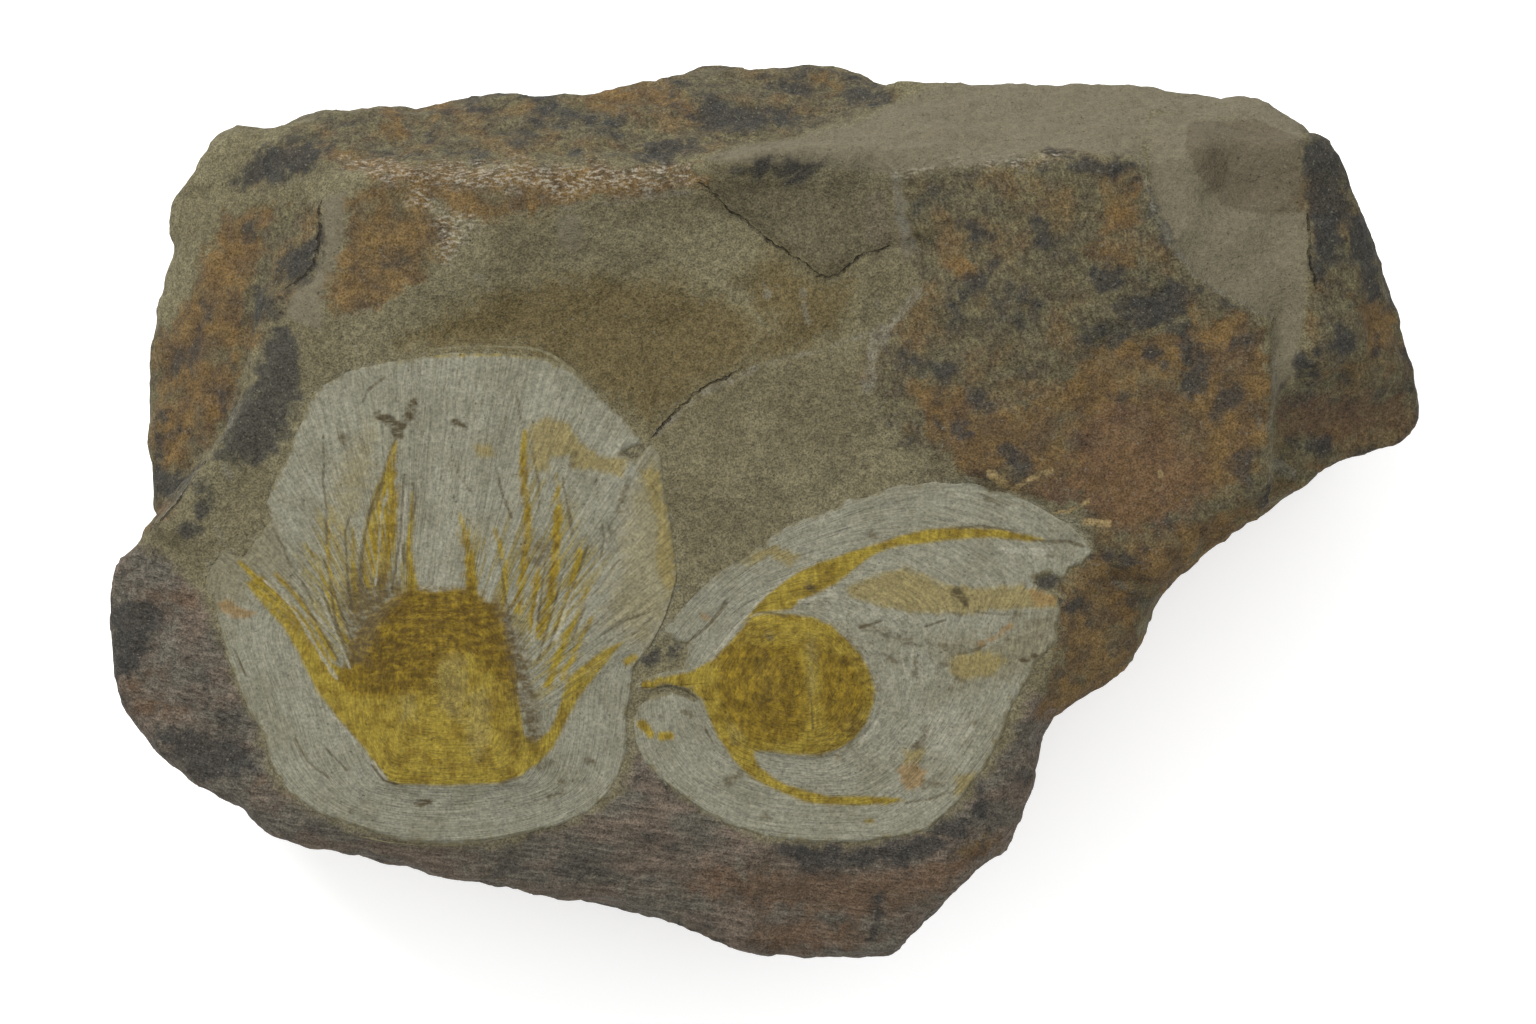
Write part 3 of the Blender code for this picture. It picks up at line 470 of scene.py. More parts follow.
TAIL_STROKES = {
    "yellow": [
        ((1, 6), [(413, 492), (412, 519), (408, 550), (411, 576), (412, 600)]),
        ((1, 6), [(459, 512), (466, 535), (470, 560), (473, 600)]),
        ((2, 3), [(495, 530), (500, 546), (504, 562), (505, 590), (502, 616)]),
        ((3, 4), [(524, 431), (523, 457), (525, 495), (528, 514), (528, 541), (524, 560),
                  (521, 588), (517, 610)]),
        ((2, 5), [(538, 568), (536, 597), (534, 630)]),
        ((4, 5), [(558, 508), (557, 539), (555, 569), (551, 597), (547, 612), (541, 636)]),
        ((1, 3), [(557, 474), (558, 508)]),
        ((3, 4), [(580, 552), (578, 562), (572, 584), (565, 608), (557, 626)]),
        ((2, 4), [(588, 590), (584, 599), (576, 618), (566, 638), (557, 659), (548, 684)]),
        ((1, 3), [(592, 618), (580, 640), (572, 659), (562, 678)]),
        ((1, 3), [(329, 518), (328, 550), (330, 576), (334, 602), (346, 640)]),
        ((1, 4), [(353, 530), (354, 570), (356, 610)]),
        ((1, 1), [(430, 356), (500, 354), (545, 358), (557, 366)]),
        ((4, 4), [(627, 662), (634, 658)]),
        ((2, 3), [(276, 574), (300, 600), (318, 628), (334, 658)]),
        ((2, 2), [(304, 544), (318, 562), (330, 600), (345, 640)]),
        ((2, 4), [(240, 562), (262, 584), (286, 606)]),
    ],
    "ochre": [
        ((2, 5), [(393, 468), (394, 500), (391, 530), (386, 565), (382, 590)]),
        ((1, 5), [(463, 530), (469, 556), (472, 600)]),
        ((1, 2), [(525, 455), (524, 495), (528, 520), (522, 575)]),
        ((1, 3), [(557, 510), (556, 545), (550, 596)]),
        ((2, 3), [(536, 575), (535, 625)]),
        ((3, 2), [(430, 759), (440, 762)]),
        ((4, 4), [(412, 604), (446, 612), (480, 616)]),
    ],
    "line": [
        ((1, 2), [(396, 438), (386, 462), (382, 482), (372, 505), (366, 530), (362, 555), (361, 592)]),
        ((1, 1), [(323, 436), (324, 464), (323, 481), (326, 507), (327, 545)]),
        ((1, 2), [(330, 583), (335, 620), (346, 650)]),
        ((1, 1), [(350, 516), (345, 533), (346, 550), (348, 580), (352, 610)]),
        ((1, 1), [(337, 426), (340, 438), (345, 445)]),
        ((1, 1), [(272, 526), (282, 545), (289, 563), (297, 575), (304, 585), (313, 602)]),
        ((1, 1), [(289, 512), (297, 525)]),
        ((1, 1), [(324, 560), (340, 610), (352, 640)]),
        ((1, 1), [(450, 485), (455, 500), (463, 511)]),
        ((1, 1), [(455, 465), (461, 480), (471, 492)]),
        ((1, 1), [(496, 467), (501, 489), (506, 504)]),
        ((2, 1), [(505, 502), (512, 518)]),
        ((1, 1), [(532, 440), (534, 459), (539, 482), (539, 514)]),
        ((1, 2), [(562, 474), (565, 495), (570, 517), (572, 534)]),
        ((1, 1), [(596, 478), (598, 500)]),
        ((1, 1), [(602, 524), (604, 539), (600, 560)]),
        ((1, 1), [(609, 526), (611, 536)]),
        ((1, 1), [(619, 560), (609, 573), (602, 584), (588, 600), (572, 640)]),
        ((1, 1), [(652, 620), (632, 635)]),
        ((1, 1), [(652, 485), (660, 500)]),
        ((1, 1), [(588, 545), (578, 575), (562, 612), (548, 650)]),
        ((1, 1), [(545, 560), (542, 590), (538, 620)]),
        ((1, 1), [(406, 484), (414, 484), (416, 500), (412, 520)]),
        ((1, 1), [(384, 482), (374, 510)]),
        ((2, 2), [(404, 546), (405, 562)]),
        ((1, 1), [(372, 766), (384, 781), (398, 785)]),
        ((1, 1), [(500, 784), (522, 777)]),
        ((1, 1), [(234, 650), (246, 676)]),
        ((1, 1), [(295, 738), (308, 762), (328, 778)]),
        ((1, 1), [(322, 590), (334, 622), (348, 656)]),
        ((1, 1), [(300, 595), (322, 632), (340, 664)]),
        ((1, 1), [(325, 748), (346, 770)]),
        ((1, 1), [(604, 634), (626, 620), (650, 612)]),
        ((1, 1), [(518, 400), (521, 424)]),
        ((1, 1), [(457, 370), (459, 384)]),
        ((1, 1), [(385, 377), (368, 390), (363, 402)]),
        ((1, 1), [(404, 478), (400, 540), (392, 592)]),
        ((1, 1), [(500, 560), (506, 600), (514, 640)]),
        ((1, 1), [(566, 560), (556, 600), (538, 660)]),
    ],
    "spot": [
        ((4, 5), [(377, 414), (392, 423), (398, 436)]),
        ((4, 4), [(413, 403), (409, 416), (399, 434)]),
        ((3, 2), [(455, 422), (463, 426)]),
        ((4, 3), [(418, 802), (428, 802)]),
        ((3, 2), [(550, 796), (562, 792)]),
    ],
    "murk": [
        # Painted shade in the narrow notch near the upper right of the tail's shell
        ((3, 2), [(630, 478), (622, 496), (616, 512)]),
        ((3, 2), [(540, 768), (552, 762)]),
        ((1, 1), [(346, 811), (350, 811)]),
        ((2, 1), [(561, 782), (566, 783)]),
        ((3, 2), [(537, 560), (541, 567)]),
        ((3, 2), [(343, 437), (346, 446)]),
        ((2, 2), [(306, 412), (309, 416)]),
        ((3, 2), [(575, 455), (572, 466)]),
        ((1, 1), [(584, 758), (600, 768)]),
    ],
    # Pale streaks, and painted highlight along the lower left edge of the yellow axis
    "pale": [
        ((1, 2), [(326, 708), (340, 725), (356, 742)]),
        ((2, 2), [(373, 762), (386, 779)]),
        ((1, 2), [(264, 580), (286, 600), (302, 622), (318, 650), (336, 678)]),
        ((1, 1), [(388, 490), (381, 516), (379, 550), (375, 586)]),
        ((3, 2), [(404, 492), (402, 520), (400, 560)]),
        ((1, 1), [(318, 590), (338, 640), (350, 668)]),
        ((2, 2), [(540, 590), (532, 640)]),
        ((2, 2), [(572, 590), (556, 640)]),
    ],
}

# Markings of the head shield
HEAD_AREAS = {
    "shell": [HEAD_SHELL],
    "faded": [
        [(935, 640), (1000, 640), (1052, 610), (1060, 650), (1010, 680), (960, 684)],
    ],
    "yellow": [
        [(635, 688), (640, 680), (660, 677), (690, 672), (712, 660), (728, 645), (740, 630),
         (752, 616), (768, 613), (790, 614), (812, 617), (832, 626), (848, 641), (860, 655),
         (870, 672), (875, 690), (873, 705), (867, 722), (855, 738), (840, 748), (820, 755),
         (800, 755), (775, 752), (750, 751), (738, 745), (724, 728), (712, 708), (700, 698),
         (688, 691), (670, 684), (650, 689)],
        [(742, 624), (752, 610), (768, 593), (785, 580), (800, 570), (820, 562), (840, 556),
         (856, 550), (872, 545), (900, 536), (925, 530), (950, 527), (980, 528), (1005, 530),
         (1028, 535), (1045, 540), (1028, 541), (1000, 538), (975, 538), (950, 540), (925, 543),
         (900, 546), (880, 551), (866, 560), (850, 572), (835, 585), (815, 594), (802, 600),
         (790, 610), (770, 612), (754, 615)],
        [(702, 698), (718, 700), (724, 716), (730, 730), (740, 744), (753, 751), (758, 765),
         (770, 775), (786, 785), (805, 790), (830, 796), (860, 796), (888, 797), (905, 800),
         (888, 804), (860, 805), (830, 805), (805, 802), (785, 794), (765, 785), (750, 776),
         (738, 765), (728, 752), (718, 738), (710, 720)],
    ],
    "ochre": [
        [(720, 650), (745, 640), (800, 645), (808, 700), (800, 740), (750, 742), (728, 720),
         (716, 690)],
        [(822, 650), (850, 660), (866, 690), (858, 725), (830, 735), (820, 700)],
    ],
    "brown": [
        [(745, 628), (766, 628), (772, 640), (762, 654), (745, 650), (738, 640)],
        [(764, 704), (790, 704), (792, 722), (770, 726)],
        [(820, 738), (842, 730), (862, 722), (856, 738), (838, 750), (820, 752)],
        [(842, 638), (858, 652), (870, 674), (874, 700), (866, 700), (858, 676), (848, 656)],
    ],
    "haze": [
        [(808, 638), (816, 640), (816, 690), (810, 700), (807, 670)],
        [(835, 712), (862, 712), (856, 730), (838, 728)],
        [(755, 660), (775, 655), (778, 700), (758, 704)],
        [(728, 722), (744, 724), (748, 742), (732, 740)],
    ],
    "tan": [
        [(848, 588), (870, 577), (905, 567), (925, 576), (945, 586), (975, 588), (1020, 585),
         (1040, 590), (1056, 598), (1056, 606), (1030, 608), (975, 613), (930, 614), (900, 609),
         (870, 602), (850, 598)],
        [(950, 655), (985, 652), (1005, 660), (990, 676), (960, 680), (948, 672)],
        [(740, 562), (755, 551), (772, 546), (800, 556), (790, 566), (770, 556), (748, 566)],
        [(903, 750), (926, 750), (920, 762), (905, 764)],
        [(955, 778), (975, 772), (970, 788), (955, 795)],
    ],
    "orange": [
        [(897, 770), (912, 762), (926, 772), (922, 788), (905, 792)],
        [(1030, 588), (1044, 590), (1057, 598), (1054, 606), (1036, 606)],
    ],
    "bright": [
        [(930, 712), (960, 700), (972, 730), (952, 758), (932, 750)],
    ],
}
HEAD_STROKES = {
    "yellow": [
        ((5, 4), [(642, 724), (650, 734)]),
        ((4, 4), [(662, 736), (670, 736)]),
        ((2, 2), [(866, 821), (872, 821)]),
    ],
    "line": [
        ((0, 1), [(811, 690), (813, 728)]),
        ((1, 1), [(754, 612), (770, 613), (786, 616)]),
        ((1, 2), [(684, 646), (700, 633), (712, 622), (726, 603)]),
        ((1, 1), [(958, 528), (980, 526), (1018, 531)]),
        ((1, 2), [(1034, 540), (1050, 542), (1066, 541), (1083, 546)]),
        ((1, 1), [(975, 612), (990, 614), (1008, 615)]),
        ((1, 1), [(925, 627), (946, 620)]),
        ((1, 1), [(860, 628), (882, 621)]),
        ((1, 1), [(952, 656), (972, 652), (986, 645)]),
        # Painted shadow under the tail of the yellow lobe
        ((1, 3), [(652, 690), (666, 687), (680, 692), (694, 699)]),
        ((1, 1), [(706, 730), (716, 748)]),
        ((1, 1), [(905, 803), (930, 799), (952, 792)]),
        ((1, 1), [(1050, 512), (1066, 514)]),
    ],
    "spot": [
        ((4, 3), [(957, 592), (966, 605)]),
        ((3, 3), [(1023, 660), (1026, 661)]),
        ((3, 3), [(1035, 656), (1038, 657)]),
        ((5, 4), [(807, 584), (812, 587)]),
        ((5, 6), [(1034, 578), (1046, 582), (1058, 590)]),
    ],
    "murk": [
        ((3, 3), [(862, 626), (874, 629), (895, 637), (920, 645)]),
        ((2, 1), [(926, 642), (945, 645)]),
        ((1, 1), [(884, 654), (896, 663)]),
        ((2, 1), [(914, 658), (917, 678)]),
        ((4, 3), [(942, 666), (954, 665)]),
        ((3, 2), [(958, 678), (950, 689)]),
        ((2, 1), [(952, 613), (960, 614)]),
        ((3, 3), [(1016, 606), (1017, 616)]),
        ((4, 3), [(987, 499), (1002, 504)]),
        ((2, 2), [(1008, 504), (1024, 504)]),
        ((2, 2), [(910, 511), (911, 513)]),
        ((3, 3), [(871, 536), (874, 537)]),
        ((4, 2), [(728, 780), (740, 776)]),
        ((3, 2), [(766, 816), (770, 819)]),
        ((2, 1), [(1041, 636), (1052, 637)]),
        ((1, 1), [(1040, 622), (1050, 621)]),
        ((2, 2), [(1049, 556), (1053, 556)]),
        ((4, 2), [(914, 748), (924, 738), (926, 728)]),
        ((4, 3), [(952, 732), (962, 726), (975, 722)]),
        ((4, 3), [(924, 785), (946, 786)]),
        ((2, 2), [(684, 712), (690, 714)]),
        ((2, 2), [(656, 714), (662, 716)]),
        ((4, 4), [(768, 634), (770, 638)]),
        ((2, 2), [(936, 776), (946, 772)]),
    ],
    "orange": [
        ((3, 2), [(982, 643), (996, 637), (1010, 626)]),
        ((3, 2), [(704, 616), (710, 620)]),
    ],
    # Pale streaks, and painted highlight along the glabella's upper left edge and its right edge
    "pale": [
        ((2, 1), [(716, 652), (728, 638), (745, 616), (768, 592), (790, 576), (815, 563)]),
        ((2, 2), [(876, 722), (860, 742)]),
        ((2, 1), [(800, 602), (820, 597), (836, 594)]),
        ((2, 1), [(850, 600), (862, 605), (880, 609)]),
        ((1, 1), [(900, 808), (930, 803)]),
        ((3, 3), [(1000, 550), (1045, 552)]),
    ],
}

# Markings of the stone that stay on its face, and at what height from it they fade in
FACE_KINDS = ("shell", "crack", "cream", "fleck", "worn")
FACE_FADE = (-9.0, -5.0)

# The kinds of markings that the materials of the stone and of the shields look for, and the
# depth inside or outside a marking past which it makes no difference
STONE_KINDS = sorted({*STONE_AREAS, *STONE_STROKES})
SHELL_KINDS = sorted({*TAIL_AREAS, *TAIL_STROKES, *HEAD_AREAS, *HEAD_STROKES})
DEEPEST = 20.0

# How a marking shows: how soft its edge is and how far that wanders, and its strength
STONE_EDGES = {
    "dim": (0.8, 0.6, 0.80),
    "fresh": (0.4, 0.2, 1.00),
    "bowl": (0.15, 0.15, 0.95),
    "ochre": (2.0, 1.4, 0.90),
    "skin": (0.8, 1.1, 1.00),
    "plum": (0.8, 0.7, 0.95),
    "rust": (0.7, 1.1, 0.85),
    "red": (1.2, 1.4, 0.60),
    "slate": (0.7, 1.1, 0.85),
    "worn": (0.3, 0.4, 0.75),
    "cream": (0.12, 0.15, 0.85),
    "fleck": (0.9, 1.2, 0.75),
    "shell": (0.35, 0.6, 0.60),
}
SHELL_EDGES = {
    "shell": (0.30, 0.55, 1.00),
    "faded": (1.2, 0.8, 0.70),
    "tan": (0.4, 0.5, 0.85),
    "wash": (1.2, 0.6, 1.00),
    "beige": (1.5, 1.0, 0.40),
    "yellow": (0.26, 0.15, 0.95),
    "haze": (0.6, 0.6, 0.20),
    "ochre": (0.6, 0.5, 0.85),
    "orange": (0.3, 0.3, 0.80),
    "brown": (1.6, 1.6, 0.82),
    "stipple": (0.9, 0.8, 0.85),
    "murk": (0.30, 0.45, 0.70),
    "spot": (0.25, 0.35, 0.95),
    "pale": (0.12, 0.15, 0.70),
    "bright": (1.0, 0.6, 0.60),
    "line": (0.11, 0.14, 0.70),
}

# Colours, as linear light
TAN = (0.116, 0.103, 0.060)
DUN = (0.093, 0.081, 0.046)
# Darker tone, also used as painted shade in the hollow by the block
DIM_AND_SHADE = (0.074, 0.064, 0.038)
FRESH_TAN = (0.110, 0.096, 0.063)
# Painted shade for the bowl of the scoop and the hollow by the block
BOWL_SHADE = (0.084, 0.070, 0.045)
OCHRE = (0.080, 0.061, 0.026)
SKIN_BROWN = (0.060, 0.050, 0.031)
SKIN_OLIVE = (0.083, 0.074, 0.041)
SKIN_ORANGE = (0.100, 0.063, 0.026)
RUST_DEEP = (0.062, 0.040, 0.021)
RUST_BRIGHT = (0.117, 0.072, 0.026)
SLATE = (0.029, 0.028, 0.025)
PLUM = (0.094, 0.073, 0.055)
PLUM_GREY = (0.080, 0.071, 0.056)
RED_BROWN = (0.086, 0.050, 0.027)
# Pale wear, also used as the painted highlight on edges that face the light
PALE_WEAR_AND_HIGHLIGHT = (0.120, 0.112, 0.084)
CREAM = (0.190, 0.140, 0.064)
FLECK = (0.230, 0.205, 0.155)
CRACK_DARK = (0.034, 0.028, 0.018)
SHELL_GREY = (0.168, 0.163, 0.121)
SHELL_DUSKY = (0.134, 0.128, 0.089)
# Pale white of streaks and patches, also used as painted highlight on edges of the shields
SHELL_WHITE_AND_HIGHLIGHT = (0.215, 0.208, 0.160)
SHELL_TAN = (0.162, 0.130, 0.050)
SHELL_ORANGE = (0.160, 0.104, 0.042)
SHELL_YELLOW = (0.190, 0.140, 0.016)
SHELL_OCHRE = (0.126, 0.084, 0.007)
SHELL_AMBER = (0.150, 0.098, 0.008)
SHELL_DARK_AMBER = (0.068, 0.042, 0.005)
SHELL_BROWN = (0.062, 0.037, 0.006)
# Dark murk and lines, also used as painted shade in a notch of the tail and as a painted shadow under
# the head's yellow lobe
SHELL_MURK_AND_SHADE = (0.062, 0.049, 0.027)
SHELL_UMBER = (0.064, 0.047, 0.021)
SHELL_SPOT = (0.045, 0.035, 0.017)
SHELL_STAIN = (0.150, 0.120, 0.036)

# The floor, and the light: where each lamp is and how wide, in metres, and its power
FLOOR_WHITE = (0.92, 0.92, 0.92)
FLOOR_SIZE = 2.0
FLOOR_GLOW = 0.3
WORLD_LIGHT = 0.85
LIGHT_TARGET = (0.0, 0.0, 0.03)
KEY_LIGHT = ((-0.45, 0.75, 0.80), 0.7, 15.0)
FILL_LIGHT = ((0.4, -0.2, 1.3), 1.2, 3.0)


def tenths(x, y, z):
    """Where the camera sees a point, given in millimetres, in the markings' tenths."""
    spread = VIEW_DISTANCE / (VIEW_DISTANCE + FACE_LEVEL - z)
    right = VIEW_MIDDLE[0] + (x - VIEW_MIDDLE[0]) * spread - VIEW_CORNER[0]
    down = VIEW_CORNER[1] - (VIEW_MIDDLE[1] + (y - VIEW_MIDDLE[1]) * spread)
    return np.stack([right, down], axis=1) / TENTH


def nearest_places(points, line):
    """For each straight run of a line: its number, its direction, how far along it the place
    nearest to each point is, and the offset from there to the point."""
    line = np.array(line, dtype=float)
    for index, (start, end) in enumerate(zip(line[:-1], line[1:])):
        run = end - start
        share = np.clip((points - start) @ run / max(run @ run, 1e-9), 0.0, 1.0)
        yield index, run, share, points - start - share[:, None] * run


def distance_from(points, line):
    """How far each point is from a line."""
    away = np.full(len(points), np.inf)
    for _, _, _, offset in nearest_places(points, line):
        away = np.minimum(away, np.hypot(*offset.T))
    return away


def depth_in_stroke(points, widths, line):
    """How deep each point is in a stroke; less than zero outside."""
    first, last = widths
    depth = np.full(len(points), -np.inf)
    for index, _, share, offset in nearest_places(points, line):
        place = (index + share) / (len(line) - 1)
        width = first + (last - first) * place
        depth = np.maximum(depth, width - np.hypot(*offset.T))
    return depth


def depth_inside(points, outline):
    """How deep each point is inside a closed outline; less than zero outside."""
    closed = [*outline, outline[0]]
    away = distance_from(points, closed)
    inside = np.zeros(len(points), dtype=bool)
    for (ax, ay), (bx, by) in zip(closed[:-1], closed[1:]):
        if ay == by:
            continue
        crosses = (ay > points[:, 1]) != (by > points[:, 1])
        inside ^= crosses & (points[:, 0] < ax + (points[:, 1] - ay) / (by - ay) * (bx - ax))
    return np.where(inside, away, -away)


def side_of(points, line):
    """Distance from a line, positive on its left as it is followed on the page."""
    nearest = np.full(len(points), np.inf)
    signed = np.zeros(len(points))
    for _, run, _, offset in nearest_places(points, line):
        away = np.hypot(*offset.T)
        left = run[1] * offset[:, 0] - run[0] * offset[:, 1]
        signed = np.where(away < nearest, np.sign(left) * away, signed)
        nearest = np.minimum(nearest, away)
    return signed


def marking_fields(points, kinds, areas, strokes):
    """For each kind of marking, how deep each point is in it, in millimetres."""
    fields = {}
    for kind in kinds:
        deepest = np.full(len(points), -DEEPEST / TENTH)
        for outline in areas.get(kind, []):
            deepest = np.maximum(deepest, depth_inside(points, outline))
        for widths, line in strokes.get(kind, []):
            deepest = np.maximum(deepest, depth_in_stroke(points, widths, line))
        fields[kind] = np.clip(deepest * TENTH, -DEEPEST, DEEPEST)
    return fields


def places_of(mesh):
    """The mesh's points as an array, in millimetres."""
    places = np.empty(len(mesh.vertices) * 3)
    mesh.vertices.foreach_get("co", places)
    return places.reshape(-1, 3) / MM


def put_places(mesh, places):
    mesh.vertices.foreach_set("co", (places * MM).ravel())
    mesh.update()


def normals_of(mesh):
    normals = np.empty(len(mesh.vertices) * 3)
    mesh.vertices.foreach_get("normal", normals)
    return normals.reshape(-1, 3)


def add_fields(mesh, fields):
    for name, values in fields.items():
        layer = mesh.attributes.new(name, "FLOAT", "POINT")
        layer.data.foreach_set("value", values.astype(np.float32))


def smooth_step(low, high, value):
    """A soft change from 0 to 1 as value goes from low to high."""
    t = np.clip((value - low) / (high - low), 0.0, 1.0)
    return t * t * (3 - 2 * t)


def spline_point(points, place):
    """A point on the smooth closed curve through points; place counts them from 0."""
    count = len(points)
    index = math.floor(place)
    t = place - index
    before, start, end, after = (Vector(points[(index + step) % count]) for step in (-1, 0, 1, 2))
    return 0.5 * (
        2 * start
        + (end - before) * t
        + (2 * before - 5 * start + 4 * end - after) * t**2
        + (3 * (start - end) + after - before) * t**3
    )


def rim_of(stations, margin):
    """A shield's rim on the stone, moved outwards by margin."""
    rim = [Vector(outer) + Vector(CENTRING) for _, outer in stations]
    outline = []
    for step in range(RIM_POINTS):
        place = step * len(rim) / RIM_POINTS
        along = (spline_point(rim, place + 0.05) - spline_point(rim, place - 0.05)).normalized()
        outline.append(spline_point(rim, place) + Vector((-along.y, along.x)) * margin)
    return outline


def new_object(bm, name):
    mesh = bpy.data.meshes.new(name)
    bm.to_mesh(mesh)
    bm.free()
    obj = bpy.data.objects.new(name, mesh)
    bpy.context.scene.collection.objects.link(obj)
    return obj


def settle(obj):
    """Puts the result of an object's modifiers into its own mesh."""
    graph = bpy.context.evaluated_depsgraph_get()
    graph.update()
    made = bpy.data.meshes.new_from_object(obj.evaluated_get(graph))
    obj.modifiers.clear()
    obj.data = made


def fill_socket(bm, stations):
    """A plug in a shield's socket, so that the stone's surface runs on under the shield."""
    low, high = SOCKET_FILL
    corners = [
        bm.verts.new((spot.x * MM, spot.y * MM, (FACE_LEVEL - low) * MM))
        for spot in rim_of(stations, SOCKET_MARGIN)
    ]
    floor = bm.faces.new(corners)
    made = bmesh.ops.extrude_face_region(bm, geom=[floor])["geom"]
    top = [item for item in made if isinstance(item, bmesh.types.BMVert)]
    bmesh.ops.translate(bm, vec=(0, 0, (low - high) * MM), verts=top)


def stone_body():
    """The stone's surface, evened out finely from the solid, with its sockets filled."""
    bm = bmesh.new()
    bm.from_mesh(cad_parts["matrix"].data)
    bmesh.ops.remove_doubles(bm, verts=bm.verts, dist=MERGE * MM)
    fill_socket(bm, TAIL_STATIONS)
    fill_socket(bm, HEAD_STATIONS)
    bmesh.ops.recalc_face_normals(bm, faces=bm.faces)
    stone = new_object(bm, "siltstone")
    even = stone.modifiers.new("even_out", "REMESH")
    even.mode = "VOXEL"
    even.voxel_size = STONE_CELL * MM
    soften = stone.modifiers.new("soften", "SMOOTH")
    soften.factor = 0.5
    soften.iterations = SOFTEN_STEPS
    settle(stone)
    return stone


def outside_rims(points):
    """How far each point on the face is outside the shields' rims, in millimetres."""
    away = np.full(len(points), np.inf)
    for stations in (TAIL_STATIONS, HEAD_STATIONS):
        rim = [
            ((spot.x - VIEW_CORNER[0]) / TENTH, (VIEW_CORNER[1] - spot.y) / TENTH)
            for spot in rim_of(stations, 0.0)
        ]
        away = np.minimum(away, -depth_inside(points, rim) * TENTH)
    return away


def relief_at(spot, rough, side):
    """The stone's lumps, pits, grain and layers at a spot, in millimetres: rough says how
    broken the surface is there, and side how far it faces sideways."""
    lumps = noise.noise(spot / LUMPS[0]) * LUMPS[1]
    pits = (noise.ridged_multi_fractal(spot / PITS[0], 0.9, 2.1, 3, 1.0, 2.0) - PIT_LEVEL) * PITS[1]
    grain = noise.fractal(spot / GRAIN[0], 0.9, 2.1, 2) * GRAIN[1]
    drift = noise.noise(spot / LAYER_DRIFT[0]) * LAYER_DRIFT[1]
    wide, thick = LAYER_SIZE
    layers = noise.noise(Vector((spot.x / wide, spot.y / wide, (spot.z + drift) / thick)))
    smooth_grain = SMOOTH_GRAIN + (1.0 - SMOOTH_GRAIN) * rough
    return lumps + pits * rough + grain * smooth_grain + layers * LAYER_HEIGHT * side


def stone_relief(places, normals, points, fields):
    """How far each point of the stone moves along its normal, in millimetres."""
    upper = smooth_step(*UPPER_PART, places[:, 2] - FACE_LEVEL)
    quiet = 1.0 - upper * (1.0 - smooth_step(0.0, QUIET_WIDTH, outside_rims(points)))
    rough = np.full(len(places), SPLIT_ROUGHNESS)
    for kind in ("skin", "plum"):
        rough = np.maximum(rough, smooth_step(*ROUGH_EDGE, fields[kind]))
    rough = np.maximum(rough, 1.0 - upper)
    side = np.clip(1.0 - np.abs(normals[:, 2]), 0.0, 1.0)
    push = np.array([
        relief_at(Vector(place), broken, sideways)
        for place, broken, sideways in zip(places, rough, side)
    ])
    steps = np.zeros(len(places))
    for height, reach, line in STEPS:
        signed = side_of(points, line)
        steps += height * 0.5 * np.tanh(signed / STEP_WIDTH) * np.exp(-np.abs(signed) / reach)
    for half, depth, line in CRACKS:
        steps -= depth * TENTH * np.exp(-((distance_from(points, line) / half) ** 2))
    return push * quiet + steps * quiet * (normals[:, 2] > FACING_UP)


def crack_sides(points):
    """How far each point is from the nearest crack, in millimetres, positive on its left."""
    nearest = np.full(len(points), DEEPEST)
    for _, line in STONE_STROKES["crack"]:
        signed = side_of(points, line) * TENTH
        nearest = np.where(np.abs(signed) < np.abs(nearest), signed, nearest)
    return nearest


def make_stone():
    """The broken block, with its finer relief and its markings."""
    stone = stone_body()
    mesh = stone.data
    places = places_of(mesh)
    normals = normals_of(mesh)
    points = tenths(*places.T)
    fields = marking_fields(points, STONE_KINDS, STONE_AREAS, STONE_STROKES)
    below = 1.0 - smooth_step(*FACE_FADE, places[:, 2] - FACE_LEVEL)
    for kind in FACE_KINDS:
        fields[kind] -= DEEPEST * below
    resting = smooth_step(0.0, RESTING_HEIGHT, places[:, 2])
    push = stone_relief(places, normals, points, fields) * resting
    put_places(mesh, places + normals * push[:, None])
    add_fields(mesh, {**fields, "crack_side": crack_sides(points)})
    mesh.shade_smooth()
    mesh.materials.clear()
    mesh.materials.append(stone_finish())
    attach(stone, "root")
    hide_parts("matrix")


def shield_columns(stations):
    """The middle of a shield's core, and the columns of its grid: how far round each is,
    counted in stations, and its points on the core and on the rim."""
    inner_points = [Vector(inner) + Vector(CENTRING) for inner, _ in stations]
    outer_points = [Vector(outer) + Vector(CENTRING) for _, outer in stations]
    columns = []
    for column in range(AROUND + 1):
        place = column * len(stations) / AROUND
        inner = spline_point(inner_points, place)
        outer = spline_point(outer_points, place)
        columns.append((place, inner, outer + (outer - inner).normalized() * RIM_OVERLAP))
    return sum(inner_points, Vector((0, 0))) / len(stations), columns


def close_crust(bm):
    """Closes the seam of a crust, and gives it a side and a back."""
    bmesh.ops.remove_doubles(bm, verts=bm.verts, dist=MERGE * MM)
    rim = [edge for edge in bm.edges if edge.is_boundary]
    made = bmesh.ops.extrude_edge_only(bm, edges=rim)["geom"]
    for corner in (item for item in made if isinstance(item, bmesh.types.BMVert)):
        corner.co.z = (FACE_LEVEL - CRUST_DEPTH) * MM
    bmesh.ops.contextual_create(bm, geom=[edge for edge in bm.edges if edge.is_boundary])
    bmesh.ops.recalc_face_normals(bm, faces=bm.faces)


